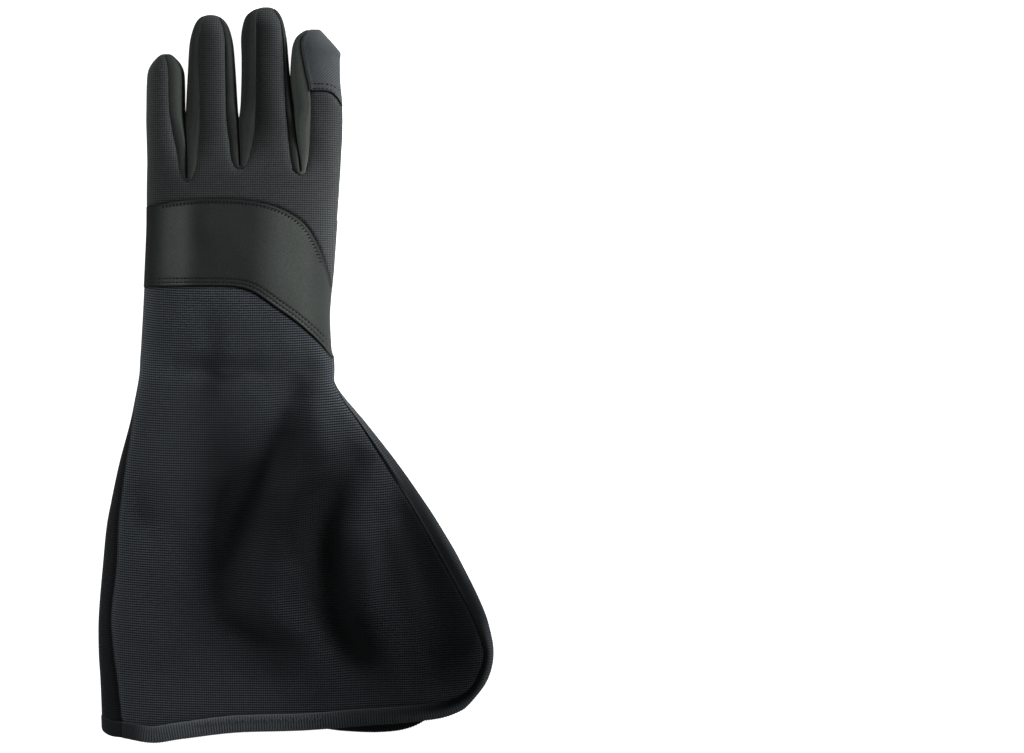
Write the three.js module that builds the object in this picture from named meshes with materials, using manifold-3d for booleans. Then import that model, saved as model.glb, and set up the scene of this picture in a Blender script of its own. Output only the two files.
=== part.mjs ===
// A left-hand work glove with a long flared cuff, lying flat with the back of the hand up.
// Millimetres. X runs towards the thumb side, Y towards the fingertips, Z up from the surface.
import * as THREE from 'three';
import Module from 'manifold-3d';

const wasm = await Module();
wasm.setup();

// Walls of the panels, and the clearance between neighbouring panels
const BACK_WALL = 2.0;
const BAND_WALL = 2.2;
const BAND_PROUD = 0.6;
const PALM_WALL = 1.4;
const SIDE_WALL = 1.2;
const CAP_WALL = 2.2;
const CAP_PROUD = 0.3;
const CUFF_WALL = 1.8;
const HEM_THICKNESS = 3.0;
const HEM_PROUD = 0.6;
const GAP = 0.3;

// Height of the side seam, where back and palm meet
const SEAM_Z = 5.5;

// Half height of a finger above the seam, and the length over which its tip rounds off
const FINGER_RISE = 9.0;
const TIP_LENGTH = 13;

// Stretch over which the hand divides into fingers, below and above the crotch
const DIVIDE_BELOW = 14;
const DIVIDE_ABOVE = 20;

// Hand and cuff seen from above, from the fingers to the mouth: both edges, the height of the
// middle, the height of the edge on the thumb side, and how square each flank is
const BODY = [
  { y: 128, left: -89.1, right: 27.2, crown: 17.5, edge: 5.5, roundL: 2.4, roundR: 2.4 },
  { y: 112, left: -89.1, right: 26.8, crown: 19.0, edge: 5.5, roundL: 2.5, roundR: 2.5 },
  { y: 88, left: -89.1, right: 24.9, crown: 21.5, edge: 5.5, roundL: 2.6, roundR: 2.6 },
  { y: 60, left: -90.2, right: 22.6, crown: 24.0, edge: 5.5, roundL: 2.6, roundR: 2.8 },
  { y: 38, left: -91.0, right: 20.8, crown: 24.5, edge: 5.5, roundL: 2.6, roundR: 3.0 },
  { y: 18, left: -92.1, right: 21.3, crown: 23.0, edge: 5.5, roundL: 2.6, roundR: 3.2 },
  { y: 2, left: -93.4, right: 23.0, crown: 21.0, edge: 5.5, roundL: 2.6, roundR: 3.4 },
  { y: -8, left: -94.9, right: 26.0, crown: 20.5, edge: 5.8, roundL: 2.6, roundR: 3.5 },
  { y: -28, left: -98.9, right: 42.0, crown: 21.5, edge: 7.0, roundL: 2.6, roundR: 3.4 },
  { y: -53, left: -105.5, right: 61.5, crown: 23.5, edge: 7.0, roundL: 2.5, roundR: 2.0 },
  { y: -76, left: -110.2, right: 76.9, crown: 25.5, edge: 7.0, roundL: 2.4, roundR: 1.75 },
  { y: -110, left: -115.0, right: 98.1, crown: 27.0, edge: 7.0, roundL: 2.4, roundR: 1.5 },
  { y: -144, left: -117.8, right: 114.2, crown: 27.0, edge: 7.0, roundL: 2.4, roundR: 1.9 },
  { y: -165, left: -118.5, right: 118.9, crown: 26.0, edge: 7.0, roundL: 2.4, roundR: 2.3 },
  { y: -182, left: -117.4, right: 115.4, crown: 25.0, edge: 7.0, roundL: 2.4, roundR: 2.2 },
  { y: -196, left: -116.6, right: 105.0, crown: 24.0, edge: 7.0, roundL: 2.4, roundR: 2.0 },
  { y: -208, left: -116.2, right: 93.0, crown: 23.0, edge: 7.0, roundL: 2.4, roundR: 2.0 },
  { y: -222, left: -116.2, right: 84.0, crown: 22.0, edge: 7.0, roundL: 2.4, roundR: 2.0 },
];

// Folds of the cuff: height over the plain surface, half width, and the route seen from above
const FOLDS = [
  {
    name: 'wrist to middle',
    rise: -5.5,
    width: 10,
    route: [[6, 2], [-6, -30], [-18, -56], [-34, -90], [-45, -125]],
  },
  {
    name: 'middle to mouth',
    rise: -3.0,
    width: 8,
    route: [[-47, -118], [-37, -146], [-1, -162], [14, -190]],
  },
  {
    name: 'thumb side hollow',
    rise: -7.0,
    width: 11,
    route: [[43, -40], [27, -70], [17, -97], [21, -135], [34, -162], [52, -180]],
  },
  { name: 'flank hollow', rise: -4.0, width: 14, route: [[64, -72], [86, -145], [96, -187]] },
  { name: 'flank crease', rise: 3.0, width: 6, route: [[52, -64], [70, -135], [78, -192]] },
  { name: 'wrist dip', rise: -1.6, width: 6, route: [[-75, 4], [-15, 3]] },
  { name: 'little finger side dip', rise: -2.2, width: 9, route: [[-92, -64], [-84, -92]] },
  {
    name: 'long ridge',
    rise: 3.2,
    width: 11,
    route: [[-1, -20], [-4, -70], [-10, -112], [-13, -136], [8, -170], [22, -194]],
  },
  { name: 'short ridge', rise: 3.0, width: 8, route: [[44, -92], [43, -150]] },
  { name: 'wrist ridge', rise: 2.4, width: 9, route: [[10, -12], [20, -52]] },
];

// Fingers seen from above: both edges from the tip to the crotch, and the two seams of the back
// strip. A finger with no side strip on one side has its seam on that edge.
const FINGERS = {
  little: {
    outline: [
      { y: 192.0, left: -80.6, right: -74.4 },
      { y: 190.0, left: -83.2, right: -71.8 },
      { y: 187.0, left: -85.8, right: -69.2 },
      { y: 182.0, left: -88.4, right: -67.0 },
      { y: 174.0, left: -89.2, right: -66.4 },
      { y: 150.0, left: -89.5, right: -66.1 },
      { y: 118.0, left: -89.1, right: -65.2 },
    ],
    seamRight: [
      { y: 190.0, x: -73.6 },
      { y: 184.0, x: -74.2 },
      { y: 145.0, x: -71.4 },
      { y: 132.0, x: -69.2 },
      { y: 119.0, x: -66.6 },
    ],
  },
  ring: {
    outline: [
      { y: 215.7, left: -54.6, right: -47.0 },
      { y: 214.0, left: -57.4, right: -44.2 },
      { y: 210.6, left: -59.7, right: -41.1 },
      { y: 205.0, left: -61.8, right: -38.9 },
      { y: 198.0, left: -63.3, right: -37.4 },
      { y: 180.0, left: -64.4, right: -35.9 },
      { y: 158.0, left: -65.4, right: -34.5 },
      { y: 120.0, left: -64.8, right: -34.2 },
    ],
    seamLeft: [
      { y: 213.0, x: -54.5 },
      { y: 188.0, x: -56.0 },
      { y: 153.7, x: -56.6 },
      { y: 130.0, x: -58.8 },
      { y: 119.0, x: -63.0 },
    ],
    seamRight: [
      { y: 213.0, x: -45.5 },
      { y: 180.0, x: -41.1 },
      { y: 153.7, x: -40.5 },
      { y: 136.0, x: -37.8 },
      { y: 124.0, x: -35.6 },
    ],
  },
  middle: {
    outline: [
      { y: 220.5, left: -21.5, right: -13.5 },
      { y: 218.5, left: -25.5, right: -11.1 },
      { y: 215.0, left: -29.3, right: -8.5 },
      { y: 210.0, left: -31.3, right: -6.8 },
      { y: 202.0, left: -32.5, right: -5.4 },
      { y: 189.0, left: -32.2, right: -4.2 },
      { y: 175.0, left: -32.3, right: -3.5 },
      { y: 157.0, left: -33.3, right: -2.2 },
      { y: 120.0, left: -33.7, right: 2.4 },
    ],
    seamLeft: [
      { y: 218.0, x: -22.5 },
      { y: 180.0, x: -22.6 },
      { y: 153.7, x: -23.2 },
      { y: 136.0, x: -26.6 },
      { y: 124.0, x: -31.6 },
    ],
    seamRight: [
      { y: 218.0, x: -12.6 },
      { y: 196.0, x: -7.4 },
      { y: 154.0, x: -4.4 },
      { y: 133.0, x: -1.6 },
      { y: 122.0, x: 0.9 },
    ],
  },
  index: {
    outline: [
      { y: 207.0, left: 7.4, right: 13.6 },
      { y: 205.6, left: 4.4, right: 16.2 },
      { y: 203.0, left: 1.2, right: 18.8 },
      { y: 199.0, left: -1.0, right: 22.2 },
      { y: 195.5, left: -1.9, right: 25.1 },
      { y: 193.0, left: -2.2, right: 26.8 },
      { y: 189.0, left: -2.5, right: 26.5 },
      { y: 175.0, left: -2.8, right: 26.7 },
      { y: 160.0, left: -1.9, right: 27.8 },
      { y: 120.0, left: 3.0, right: 26.9 },
    ],
    seamLeft: [
      { y: 205.0, x: 7.4 },
      { y: 197.0, x: 6.2 },
      { y: 162.0, x: 10.1 },
      { y: 138.0, x: 9.4 },
      { y: 128.0, x: 7.4 },
      { y: 122.0, x: 4.9 },
    ],
  },
};
const LANES = ['little', 'ring', 'middle', 'index'];

// Crotches: place of the bottom of each V between two fingers
const CROTCHES = [
  { name: 'fourchette_little_ring', left: 'little', right: 'ring', x: -64.9, y: 117.0 },
  { name: 'fourchette_ring_middle', left: 'ring', right: 'middle', x: -33.7, y: 123.0 },
  { name: 'fourchette_middle_index', left: 'middle', right: 'index', x: 2.8, y: 120.5 },
];
const CROTCH_RADIUS = 1.6;
// Stretch over which a gap's walls leave its rounded bottom
const GAP_BLEND = 8;
const STRIP_END = 2.2;
const OUTER_ROOT_Y = 116;

// Knuckle band: both edges across the back of the hand
const BAND_TOP = [
  { x: -89.1, y: 100.5 },
  { x: -62, y: 103.8 },
  { x: -44, y: 104.5 },
  { x: -28, y: 103.6 },
  { x: -14, y: 101 },
  { x: -1, y: 95.4 },
  { x: 8, y: 88 },
  { x: 15.5, y: 75 },
  { x: 20.5, y: 61 },
  { x: 22.6, y: 51 },
];
const BAND_BOTTOM = [
  { x: -90.6, y: 52.4 },
  { x: -53, y: 52.3 },
  { x: -32, y: 51.6 },
  { x: -22, y: 48.4 },
  { x: -9.4, y: 39.7 },
  { x: 2, y: 31.4 },
  { x: 13, y: 21.4 },
  { x: 22.2, y: 10.5 },
];

// Lower edge of the patch on the index fingertip
const CAP_EDGE = [
  { x: 4, y: 168.9 },
  { x: 12, y: 169.1 },
  { x: 21.1, y: 168.5 },
  { x: 25.2, y: 165.1 },
  { x: 27.6, y: 161.2 },
];

// Free edge of the back cuff panel: from the top of the slit down the slanted side, round the
// corner and along the mouth. band is the width of the binding seen from above.
const BACK_EDGE = [
  { x: 23.8, y: -3, band: 0.5 },
  { x: 30.3, y: -15, band: 1.6 },
  { x: 42.0, y: -28, band: 3.2 },
  { x: 61.5, y: -53, band: 6.5 },
  { x: 76.9, y: -76, band: 8.0 },
  { x: 98.1, y: -110, band: 9.6 },
  { x: 107.6, y: -127.5, band: 9.6 },
  { x: 114.2, y: -144, band: 8.0 },
  { x: 118.9, y: -165, band: 6.0 },
  { x: 115.6, y: -181, band: 7.0 },
  { x: 106.5, y: -194.5, band: 8.6 },
  { x: 92.0, y: -203.5, band: 9.8 },
  { x: 72.0, y: -207.6, band: 10 },
  { x: 40.0, y: -210.2, band: 10 },
  { x: 8.0, y: -213.0, band: 10 },
  { x: -35.0, y: -214.2, band: 10 },
  { x: -67.0, y: -217.9, band: 10 },
  { x: -86.0, y: -220.5, band: 10 },
  { x: -104.5, y: -217.0, band: 10 },
];
const BACK_CORNER = 8.47;

// Free edge of the palm cuff panel, tucked a little further in than the back one
const PALM_EDGE = [
  { x: 24.5, y: -3, band: 4 },
  { x: 30.0, y: -16, band: 8 },
  { x: 38.5, y: -29, band: 10 },
  { x: 55.0, y: -54, band: 10 },
  { x: 69.0, y: -77, band: 10 },
  { x: 88.0, y: -111, band: 10 },
  { x: 98.5, y: -135, band: 10 },
  { x: 104.5, y: -158, band: 10 },
  { x: 102.5, y: -178, band: 10 },
  { x: 94.0, y: -194, band: 10 },
  { x: 79.0, y: -206.5, band: 10 },
  { x: 66.0, y: -212.5, band: 10 },
  { x: 49.0, y: -214.3, band: 10 },
  { x: 8.0, y: -213.4, band: 10 },
  { x: -35.0, y: -214.6, band: 10 },
  { x: -67.0, y: -217.4, band: 10 },
  { x: -92.0, y: -218.0, band: 10 },
];
const PALM_CORNER = 8.4;

// Seam between the cuff panels on the little finger side, as a share of the half width
const CUFF_SEAM = [
  { y: 6, share: 1 },
  { y: -2, share: 0.9985 },
  { y: -20, share: 0.997 },
  { y: -45, share: 0.945 },
  { y: -77, share: 0.922 },
  { y: -111, share: 0.906 },
  { y: -143, share: 0.92 },
  { y: -160, share: 0.912 },
  { y: -191, share: 0.888 },
  { y: -208, share: 0.868 },
  { y: -222, share: 0.862 },
];
const WRIST_SEAM_Y = 3;
const ROLL_WIDTH = 7;

// Mouth of the palm cuff panel near the little finger side, where it rolls round onto the back
const PALM_MOUTH = [
  { x: -118, y: -211.0 },
  { x: -115, y: -213.6 },
  { x: -110, y: -215.6 },
  { x: -102, y: -217.2 },
  { x: -92, y: -218.0 },
];
const MOUTH_BAND = 10;

// Thumb folded flat under the palm: a tapering stall on an axis from its mouth on the thumb side
// of the hand. Each row has one point on each border, measured along and across the axis.
const THUMB_MOUTH = [11, 57];
const THUMB_ANGLE = 150;
const THUMB_MID = 4.7;
const THUMB_HALF = 4.6;
const THUMB = [
  { lowAlong: -12, lowAcross: 22.5, highAlong: 15, highAcross: -23, height: 1 },
  { lowAlong: 6, lowAcross: 19.5, highAlong: 24, highAcross: -19, height: 1 },
  { lowAlong: 22, lowAcross: 17, highAlong: 31, highAcross: -16.5, height: 1 },
  { lowAlong: 36, lowAcross: 15, highAlong: 40, highAcross: -15, height: 1 },
  { lowAlong: 49, lowAcross: 13.5, highAlong: 50, highAcross: -13.5, height: 0.98 },
  { lowAlong: 56, lowAcross: 11, highAlong: 56, highAcross: -11, height: 0.86 },
  { lowAlong: 61, lowAcross: 7.5, highAlong: 61, highAcross: -7.5, height: 0.58 },
  { lowAlong: 63.5, lowAcross: 3.5, highAlong: 63.5, highAcross: -3.5, height: 0 },
];
const THUMB_LIP = { low: 28, high: 86 };
const THUMB_HOLE = { low: 20, lowFull: 29, highFull: 85, high: 94, depth: 11 };
const THUMB_LIFT = 9.75;
const LIFT_FALL = 13;

// Cells of the meshes
const LANE_CELLS = 5;
const FINGER_ROWS = [0, 0.09, 0.2, 0.34, 0.5, 0.66, 0.8, 0.89, 0.95, 0.985, 1];
const SHORT_ROWS = [0, 0.14, 0.3, 0.48, 0.66, 0.84, 1];
const STRIP_ROWS = [1, 0.93, 0.82, 0.66, 0.5, 0.34, 0.2, 0.09, 0];
const HAND_ROWS = 5;
const PALM_ROWS = 12;
const BAND_ROWS = 5;
const CUFF_ROWS = 20;
const SLIT_ROW = 2;
const PALM_CUFF_ROWS = 14;
const PALM_CUFF_CELLS = 12;
const PALM_SLIT_ROW = 1;
const THUMB_SIDES = 16;

const lerp = (a, b, t) => a + (b - a) * t;
const clamp = (v, low, high) => Math.min(Math.max(v, low), high);
const smooth = (t) => {
  const k = clamp(t, 0, 1);
  return k * k * (3 - 2 * k);
};

// Smooth value of one column of a table that runs from high y to low y
function column(rows, name, y, place = 'y') {
  const last = rows.length - 1;
  const down = rows[0][place] > rows[last][place];
  const at = (k) => rows[down ? k : last - k];
  if (y >= at(0)[place]) return at(0)[name];
  if (y <= at(last)[place]) return at(last)[name];
  let i = 0;
  while (at(i + 1)[place] > y) i += 1;
  const slope = (k) => {
    const a = at(Math.max(k - 1, 0));
    const b = at(Math.min(k + 1, last));
    return (b[name] - a[name]) / (b[place] - a[place]);
  };
  const p = at(i);
  const q = at(i + 1);
  const span = q[place] - p[place];
  const t = (y - p[place]) / span;
  const t2 = t * t;
  const t3 = t2 * t;
  return (2 * t3 - 3 * t2 + 1) * p[name] + (t3 - 2 * t2 + t) * span * slope(i)
    + (3 * t2 - 2 * t3) * q[name] + (t3 - t2) * span * slope(i + 1);
}

const curveY = (points, x) => column(points, 'y', x, 'x');

const body = (name, y) => column(BODY, name, y);

// Share of the half width at which a plan point lies, from -1 on the left edge to 1 on the right
function shareAt(x, y) {
  const left = body('left', y);
  const right = body('right', y);
  return clamp((2 * x - left - right) / (right - left), -1, 1);
}

// Height that the folds add at a plan point
function foldHeight(x, y) {
  let sum = 0;
  for (const fold of FOLDS) {
    let best = Infinity;
    let along = 0;
    let walked = 0;
    let total = 0;
    for (let i = 0; i + 1 < fold.route.length; i += 1) {
      const [ax, ay] = fold.route[i];
      const [bx, by] = fold.route[i + 1];
      const length = Math.hypot(bx - ax, by - ay);
      const t = clamp(((x - ax) * (bx - ax) + (y - ay) * (by - ay)) / length ** 2, 0, 1);
      const away = Math.hypot(x - lerp(ax, bx, t), y - lerp(ay, by, t));
      if (away < best) {
        best = away;
        along = walked + t * length;
      }
      walked += length;
    }
    total = walked;
    const fade = Math.sqrt(Math.sin(Math.PI * clamp(along / total, 0.02, 0.98)));
    sum += fold.rise * fade * Math.exp(-((best / fold.width) ** 2));
  }
  return sum;
}

// Upper surface of the hand and cuff
function bodyTop(x, y, inset) {
  const left = body('left', y);
  const right = body('right', y);
  const share = shareAt(x, y);
  const round = share < 0 ? body('roundL', y) : body('roundR', y);
  const flank = (1 - Math.abs(share) ** round) ** (1 / round);
  const seam = lerp(SEAM_Z, body('edge', y), (share + 1) / 2);
  const rise = body('crown', y) - inset - seam;
  const inside = (left + right) / 2 + share * ((right - left) / 2 - inset);
  const calm = 1 - Math.abs(share) ** 10;
  return [inside, y, seam + rise * flank + foldHeight(x, y) * calm];
}

// How far a point over the thumb has to be lifted to clear it
function thumbLift(x, y) {
  const angle = THREE.MathUtils.degToRad(THUMB_ANGLE);
  const dx = x - THUMB_MOUTH[0];
  const dy = y - THUMB_MOUTH[1];
  const along = dx * Math.cos(angle) + dy * Math.sin(angle);
  const across = dx * -Math.sin(angle) + dy * Math.cos(angle);
  const half = lerp(25, 14, clamp(along / 50, 0, 1));
  const last = THUMB[THUMB.length - 1].lowAlong - 8;
  const beyond = Math.max(along - last, 0);
  const sideways = Math.max(Math.abs(across) - (half - (beyond > 0 ? 6 : 0)), 0);
  const away = Math.hypot(beyond > 0 ? Math.max(beyond - 8, 0) : 0, sideways);
  return THUMB_LIFT * (1 - smooth((away - 1.5) / LIFT_FALL));
}

// Share of the thumb hole's depth at a place along the hand
function holeShare(y) {
  const { low, lowFull, highFull, high } = THUMB_HOLE;
  return smooth((y - low) / (lowFull - low)) * (1 - smooth((y - highFull) / (high - highFull)));
}

// Lower surface of the hand, from the side seam down to the surface it lies on
function bodyLow(x, y, inset) {
  const left = body('left', y);
  const right = body('right', y);
  const share = shareAt(x, y);
  const hole = holeShare(y);
  const rollLeft = (1 - clamp((x - left) / ROLL_WIDTH, 0, 1)) ** 2;
  const rollRight = (1 - clamp((right - x) / ROLL_WIDTH, 0, 1)) ** 2 * (1 - hole);
  const roll = Math.max(rollLeft, rollRight);
  const lift = thumbLift(x, y) * lerp(smooth((right - x - 1) / ROLL_WIDTH), 1, hole);
  const z = lerp(lift, SEAM_Z, roll);
  const inside = (left + right) / 2 + share * ((right - left) / 2 - inset);
  return [inside, y, z + inset * (1 - roll)];
}

// A finger's outline at a height, widened below the crotch so that its lane meets the next one
function lane(name, y) {
  const rows = FINGERS[name].outline;
  const left = column(rows, 'left', y);
  const right = column(rows, 'right', y);
  return { left, right, mid: (left + right) / 2, half: (right - left) / 2, tip: rows[0].y };
}

// How much of the finger shape there is at a height: 0 in the hand, 1 in the finger
function fingerShare(name, y) {
  const around = CROTCHES.filter((c) => c.left === name || c.right === name).map((c) => c.y);
  const root = around.reduce((a, b) => a + b, 0) / around.length;
  return smooth((y - root + DIVIDE_BELOW) / (DIVIDE_BELOW + DIVIDE_ABOVE));
}

function tipRound(tip, y) {
  const k = clamp((tip - y) / TIP_LENGTH, 0, 1);
  return { rise: Math.sqrt(1 - (1 - k) ** 2), back: 1 - k };
}

// Point of the upper or lower surface of one finger's lane, from the fingertip into the hand
function lanePoint(name, x, y, inset, upper) {
  const { mid, half, tip } = lane(name, y);
  const xi = clamp((x - mid) / half, -1, 1);
  const { rise, back } = tipRound(tip, y);
  const inner = Math.max(half - inset, half * 0.3);
  const fx = mid + xi * inner;
  const fz = upper
    ? SEAM_Z + (FINGER_RISE - inset) * rise * Math.sqrt(1 - xi * xi)
    : SEAM_Z - (SEAM_Z - inset) * rise * (1 - xi ** 4) ** 0.25;
  const share = fingerShare(name, y);
  const [bx, , bz] = upper ? bodyTop(x, y, inset) : bodyLow(x, y, inset);
  const z = lerp(bz, fz, share);
  const lifted = upper ? Math.max(z, SEAM_Z + GAP / 2) : Math.min(z, SEAM_Z - GAP / 2);
  const onSeam = share > 0 && (Math.abs(xi) > 0.999 || rise === 0);
  const edge = onSeam || Math.abs(shareAt(x, y)) > 0.999;
  return [lerp(bx, fx, share), y - inset * back, edge ? lifted : z];
}

// A skin collects points on an outer and an inner surface with the same faces, and closes them
// with a rim into one solid wall
class Skin {
  constructor() {
    this.outer = [];
    this.inner = [];
    this.faces = [];
    this.known = new Map();
  }

  point(key, outer, inner) {
    if (!this.known.has(key)) {
      this.known.set(key, this.outer.length);
      this.outer.push(outer);
      this.inner.push(inner);
    }
    return this.known.get(key);
  }

  // Faces between neighbouring rows of points
  rows(grid) {
    for (let j = 0; j + 1 < grid.length; j += 1) {
      for (let i = 0; i + 1 < grid[j].length; i += 1) {
        this.quad(grid[j][i], grid[j][i + 1], grid[j + 1][i + 1], grid[j + 1][i]);
      }
    }
  }

  // Two faces that meet on the shorter diagonal
  quad(a, b, c, d) {
    const length = (p, q) => Math.hypot(...this.outer[p].map((v, n) => v - this.outer[q][n]));
    const corners = length(a, c) <= length(b, d) ? [a, b, c, d] : [b, c, d, a];
    const [p, q, r, s] = corners;
    if (p !== q && q !== r && p !== r) this.faces.push([p, q, r]);
    if (p !== r && r !== s && p !== s) this.faces.push([p, r, s]);
  }

  geometry() {
    const count = this.outer.length;
    const index = [];
    const open = new Map();
    for (const [a, b, c] of this.faces) {
      index.push(a, b, c, a + count, c + count, b + count);
      for (const [p, q] of [[a, b], [b, c], [c, a]]) {
        if (open.has(`${q} ${p}`)) open.delete(`${q} ${p}`);
        else open.set(`${p} ${q}`, [p, q]);
      }
    }
    for (const [p, q] of open.values()) {
      index.push(q, p, p + count, q, p + count, q + count);
    }
    return solidGeometry([...this.outer, ...this.inner], index);
  }
}

// A geometry from points and a face list, turned outwards
function solidGeometry(points, index) {
  let volume = 0;
  const v = points.map((p) => new THREE.Vector3(...p));
  const cross = new THREE.Vector3();
  for (let i = 0; i < index.length; i += 3) {
    cross.crossVectors(v[index[i + 1]], v[index[i + 2]]);
    volume += v[index[i]].dot(cross);
  }
  const turned = volume < 0 ? index.slice().reverse() : index;
  const geometry = new THREE.BufferGeometry();
  geometry.setAttribute('position', new THREE.Float32BufferAttribute(points.flat(), 3));
  geometry.setIndex(turned);
  return geometry;
}

function toSolid(geometry) {
  return new wasm.Manifold(new wasm.Mesh({
    numProp: 3,
    vertProperties: new Float32Array(geometry.attributes.position.array),
    triVerts: new Uint32Array(geometry.index.array),
  }));
}

// The largest body of a solid, as a geometry
function toGeometry(solid) {
  const bodies = solid.decompose().sort((a, b) => b.volume() - a.volume());
  const mesh = bodies[0].getMesh();
  const geometry = new THREE.BufferGeometry();
  geometry.setAttribute('position', new THREE.Float32BufferAttribute(mesh.vertProperties, 3));
  geometry.setIndex(Array.from(mesh.triVerts));
  return geometry;
}

// Ends of a finger's strip at a height, as x on its left and right seam
function seamX(name, side, y, upper) {
  const { left, right, mid, half } = lane(name, y);
  const rows = FINGERS[name][side === 'left' ? 'seamLeft' : 'seamRight'];
  const edge = side === 'left' ? left : right;
  if (!rows) return edge;
  if (upper) return clamp(column(rows, 'x', y), left, right);
  const crotch = CROTCHES.find((c) => (side === 'left' ? c.right : c.left) === name);
  const share = lerp(0.94, 0.78, smooth((y - crotch.y) / 30));
  const sign = side === 'left' ? -1 : 1;
  return mid + sign * half * share;
}

// Where the finger part of a column begins: just under the crotches, level between them
function rootY(x) {
  const low = CROTCH_RADIUS + GAP;
  const points = [
    { x: -95, y: OUTER_ROOT_Y },
    ...CROTCHES,
    { x: 35, y: OUTER_ROOT_Y + 2 },
  ];
  return curveY(points, x) - low;
}

// Angle positions of the columns of a lane between its two seams
function laneColumns(name, y, upper, widen) {
  const { mid, half } = lane(name, y);
  const reach = (side) => {
    const sign = side === 'left' ? -1 : 1;
    const rows = FINGERS[name][side === 'left' ? 'seamLeft' : 'seamRight'];
    const x = seamX(name, side, y, upper) + (rows ? sign * widen : 0);
    return Math.acos(clamp((x - mid) / half, -1, 1));
  };
  const from = reach('left');
  const to = reach('right');
  const xs = [];
  for (let k = 0; k <= LANE_CELLS; k += 1) {
    xs.push(mid + half * Math.cos(lerp(from, to, k / LANE_CELLS)));
  }
  return xs;
}

// Places of the comb's columns across the finger roots
function combRoots(upper, widen) {
  return LANES.flatMap((name) => {
    const { y } = CROTCHES.find((c) => c.left === name || c.right === name);
    return laneColumns(name, y, upper, widen).map((x) => ({ name, x }));
  });
}

// The same places as shares of the half width of the hand, from -1 to 1
function combShares(roots) {
  const first = roots[0].x;
  const last = roots[roots.length - 1].x;
  return roots.map(({ x }) => (2 * x - first - last) / (last - first));
}

// Comb-shaped panel of a hand: four finger strips that grow out of the hand. bottom gives the
// lower boundary of the panel at a share of the half width, top the end of a finger's column.
function combPanel({ upper, wall, grow, bottom, handRows, top }) {
  const skin = new Skin();
  const outerInset = -grow;
  const innerInset = wall + grow;
  const widen = grow - GAP / 2;
  const surface = (key, name, x, y) => skin.point(
    key,
    lanePoint(name, x, y, outerInset, upper),
    lanePoint(name, x, y, innerInset, upper),
  );
  const roots = combRoots(upper, widen);
  const rootIds = roots.map(({ name, x }, k) => surface(`root ${k}`, name, x, rootY(x) + grow));
  LANES.forEach((name, lane) => {
    const from = lane * (LANE_CELLS + 1);
    const to = from + LANE_CELLS + 1;
    const xs = roots.slice(from, to).map(({ x }) => x);
    const stop = top[name] ?? (() => FINGERS[name].outline[0].y);
    const rows = top[name] ? SHORT_ROWS : FINGER_ROWS;
    const grid = [rootIds.slice(from, to)];
    rows.slice(1).forEach((f, j) => {
      grid.push(xs.map((rootX, k) => {
        const y = lerp(rootY(rootX), stop(k), f);
        const x = laneColumns(name, y, upper, widen)[k];
        return surface(`${name} ${j} ${k}`, name, x, y);
      }));
    });
    skin.rows(grid);
  });
  const shares = combShares(roots);
  const grid = [];
  for (let j = 0; j < handRows; j += 1) {
    grid.push(roots.map(({ name, x }, k) => {
      const y = lerp(bottom(shares[k]), rootY(x), j / handRows);
      const trim = upper ? 0 : THUMB_HOLE.depth * holeShare(y);
      const px = lerp(body('left', y), body('right', y) - trim, (shares[k] + 1) / 2);
      return surface(`hand ${j} ${k}`, name, px, y);
    }));
  }
  grid.push(rootIds);
  skin.rows(grid);
  return skin.geometry();
}

// Height of the patch's lower edge on one column of the index finger
function capEdgeY(k) {
  let { y } = CAP_EDGE[1];
  for (let n = 0; n < 8; n += 1) {
    y = curveY(CAP_EDGE, laneColumns('index', y, true, -GAP / 2)[k]);
  }
  return y;
}

function backPanel(grow) {
  return combPanel({
    upper: true,
    wall: BACK_WALL,
    grow,
    bottom: (share) => seamLine(BAND_TOP, share, GAP / 2),
    handRows: HAND_ROWS,
    top: { index: (k) => capEdgeY(k) - GAP / 2 },
  });
}

function palmPanel(grow) {
  return combPanel({
    upper: false,
    wall: PALM_WALL,
    grow,
    bottom: () => WRIST_SEAM_Y + GAP / 2,
    handRows: PALM_ROWS,
    top: {},
  });
}

// Patch over the index fingertip
function indexCap(grow) {
  const skin = new Skin();
  const { tip } = lane('index', 0);
  const grid = [0, 0.2, 0.4, 0.58, 0.74, 0.86, 0.94, 1].map((f, j) => {
    const row = [];
    for (let k = 0; k <= LANE_CELLS; k += 1) {
      const y = lerp(capEdgeY(k) + GAP / 2, tip, f);
      const x = laneColumns('index', y, true, grow - GAP / 2)[k];
      row.push(skin.point(
        `${j} ${k}`,
        lanePoint('index', x, y, -CAP_PROUD - grow, true),
        lanePoint('index', x, y, CAP_WALL - CAP_PROUD + grow, true),
      ));
    }
    return row;
  });
  skin.rows(grid);
  return skin.geometry();
}

// Section of a side strip on one side of a finger, from the back seam down to the palm seam
function stripSection(name, side, y, inset) {
  const sign = side === 'left' ? -1 : 1;
  const { mid, half, tip } = lane(name, y);
  const { back } = tipRound(tip, y);
  const seamTop = seamX(name, side, y, true);
  const seamLow = seamX(name, side, y, false);
  const topZ = lanePoint(name, seamTop, y, 0, true)[2];
  const lowZ = lanePoint(name, seamLow, y, 0, false)[2];
  const shareTop = clamp(sign * (seamTop - mid) / half, -0.2, 0.99);
  const shareLow = clamp(sign * (seamLow - mid) / half, 0.5, 0.99);
  const from = Math.acos(shareTop) - 0.02;
  const to = -Math.acos(shareLow) + 0.02;
  const points = [];
  for (const f of [0, 0.28, 0.55, 0.8, 1]) {
    const angle = lerp(from, to, f);
    const c = Math.cos(angle);
    const x = mid + sign * Math.max(half - inset, half * 0.3) * c;
    const part = angle > 0
      ? Math.sin(angle) / Math.sin(from)
      : (1 - c ** 4) ** 0.25 / (1 - Math.cos(to) ** 4) ** 0.25;
    const reach = angle > 0 ? topZ - SEAM_Z : lowZ - SEAM_Z;
    const shrink = (Math.abs(reach) - Math.min(inset, Math.abs(reach) * 0.8)) / Math.abs(reach);
    points.push([x, y - inset * back, SEAM_Z + reach * shrink * part]);
  }
  return points;
}

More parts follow.
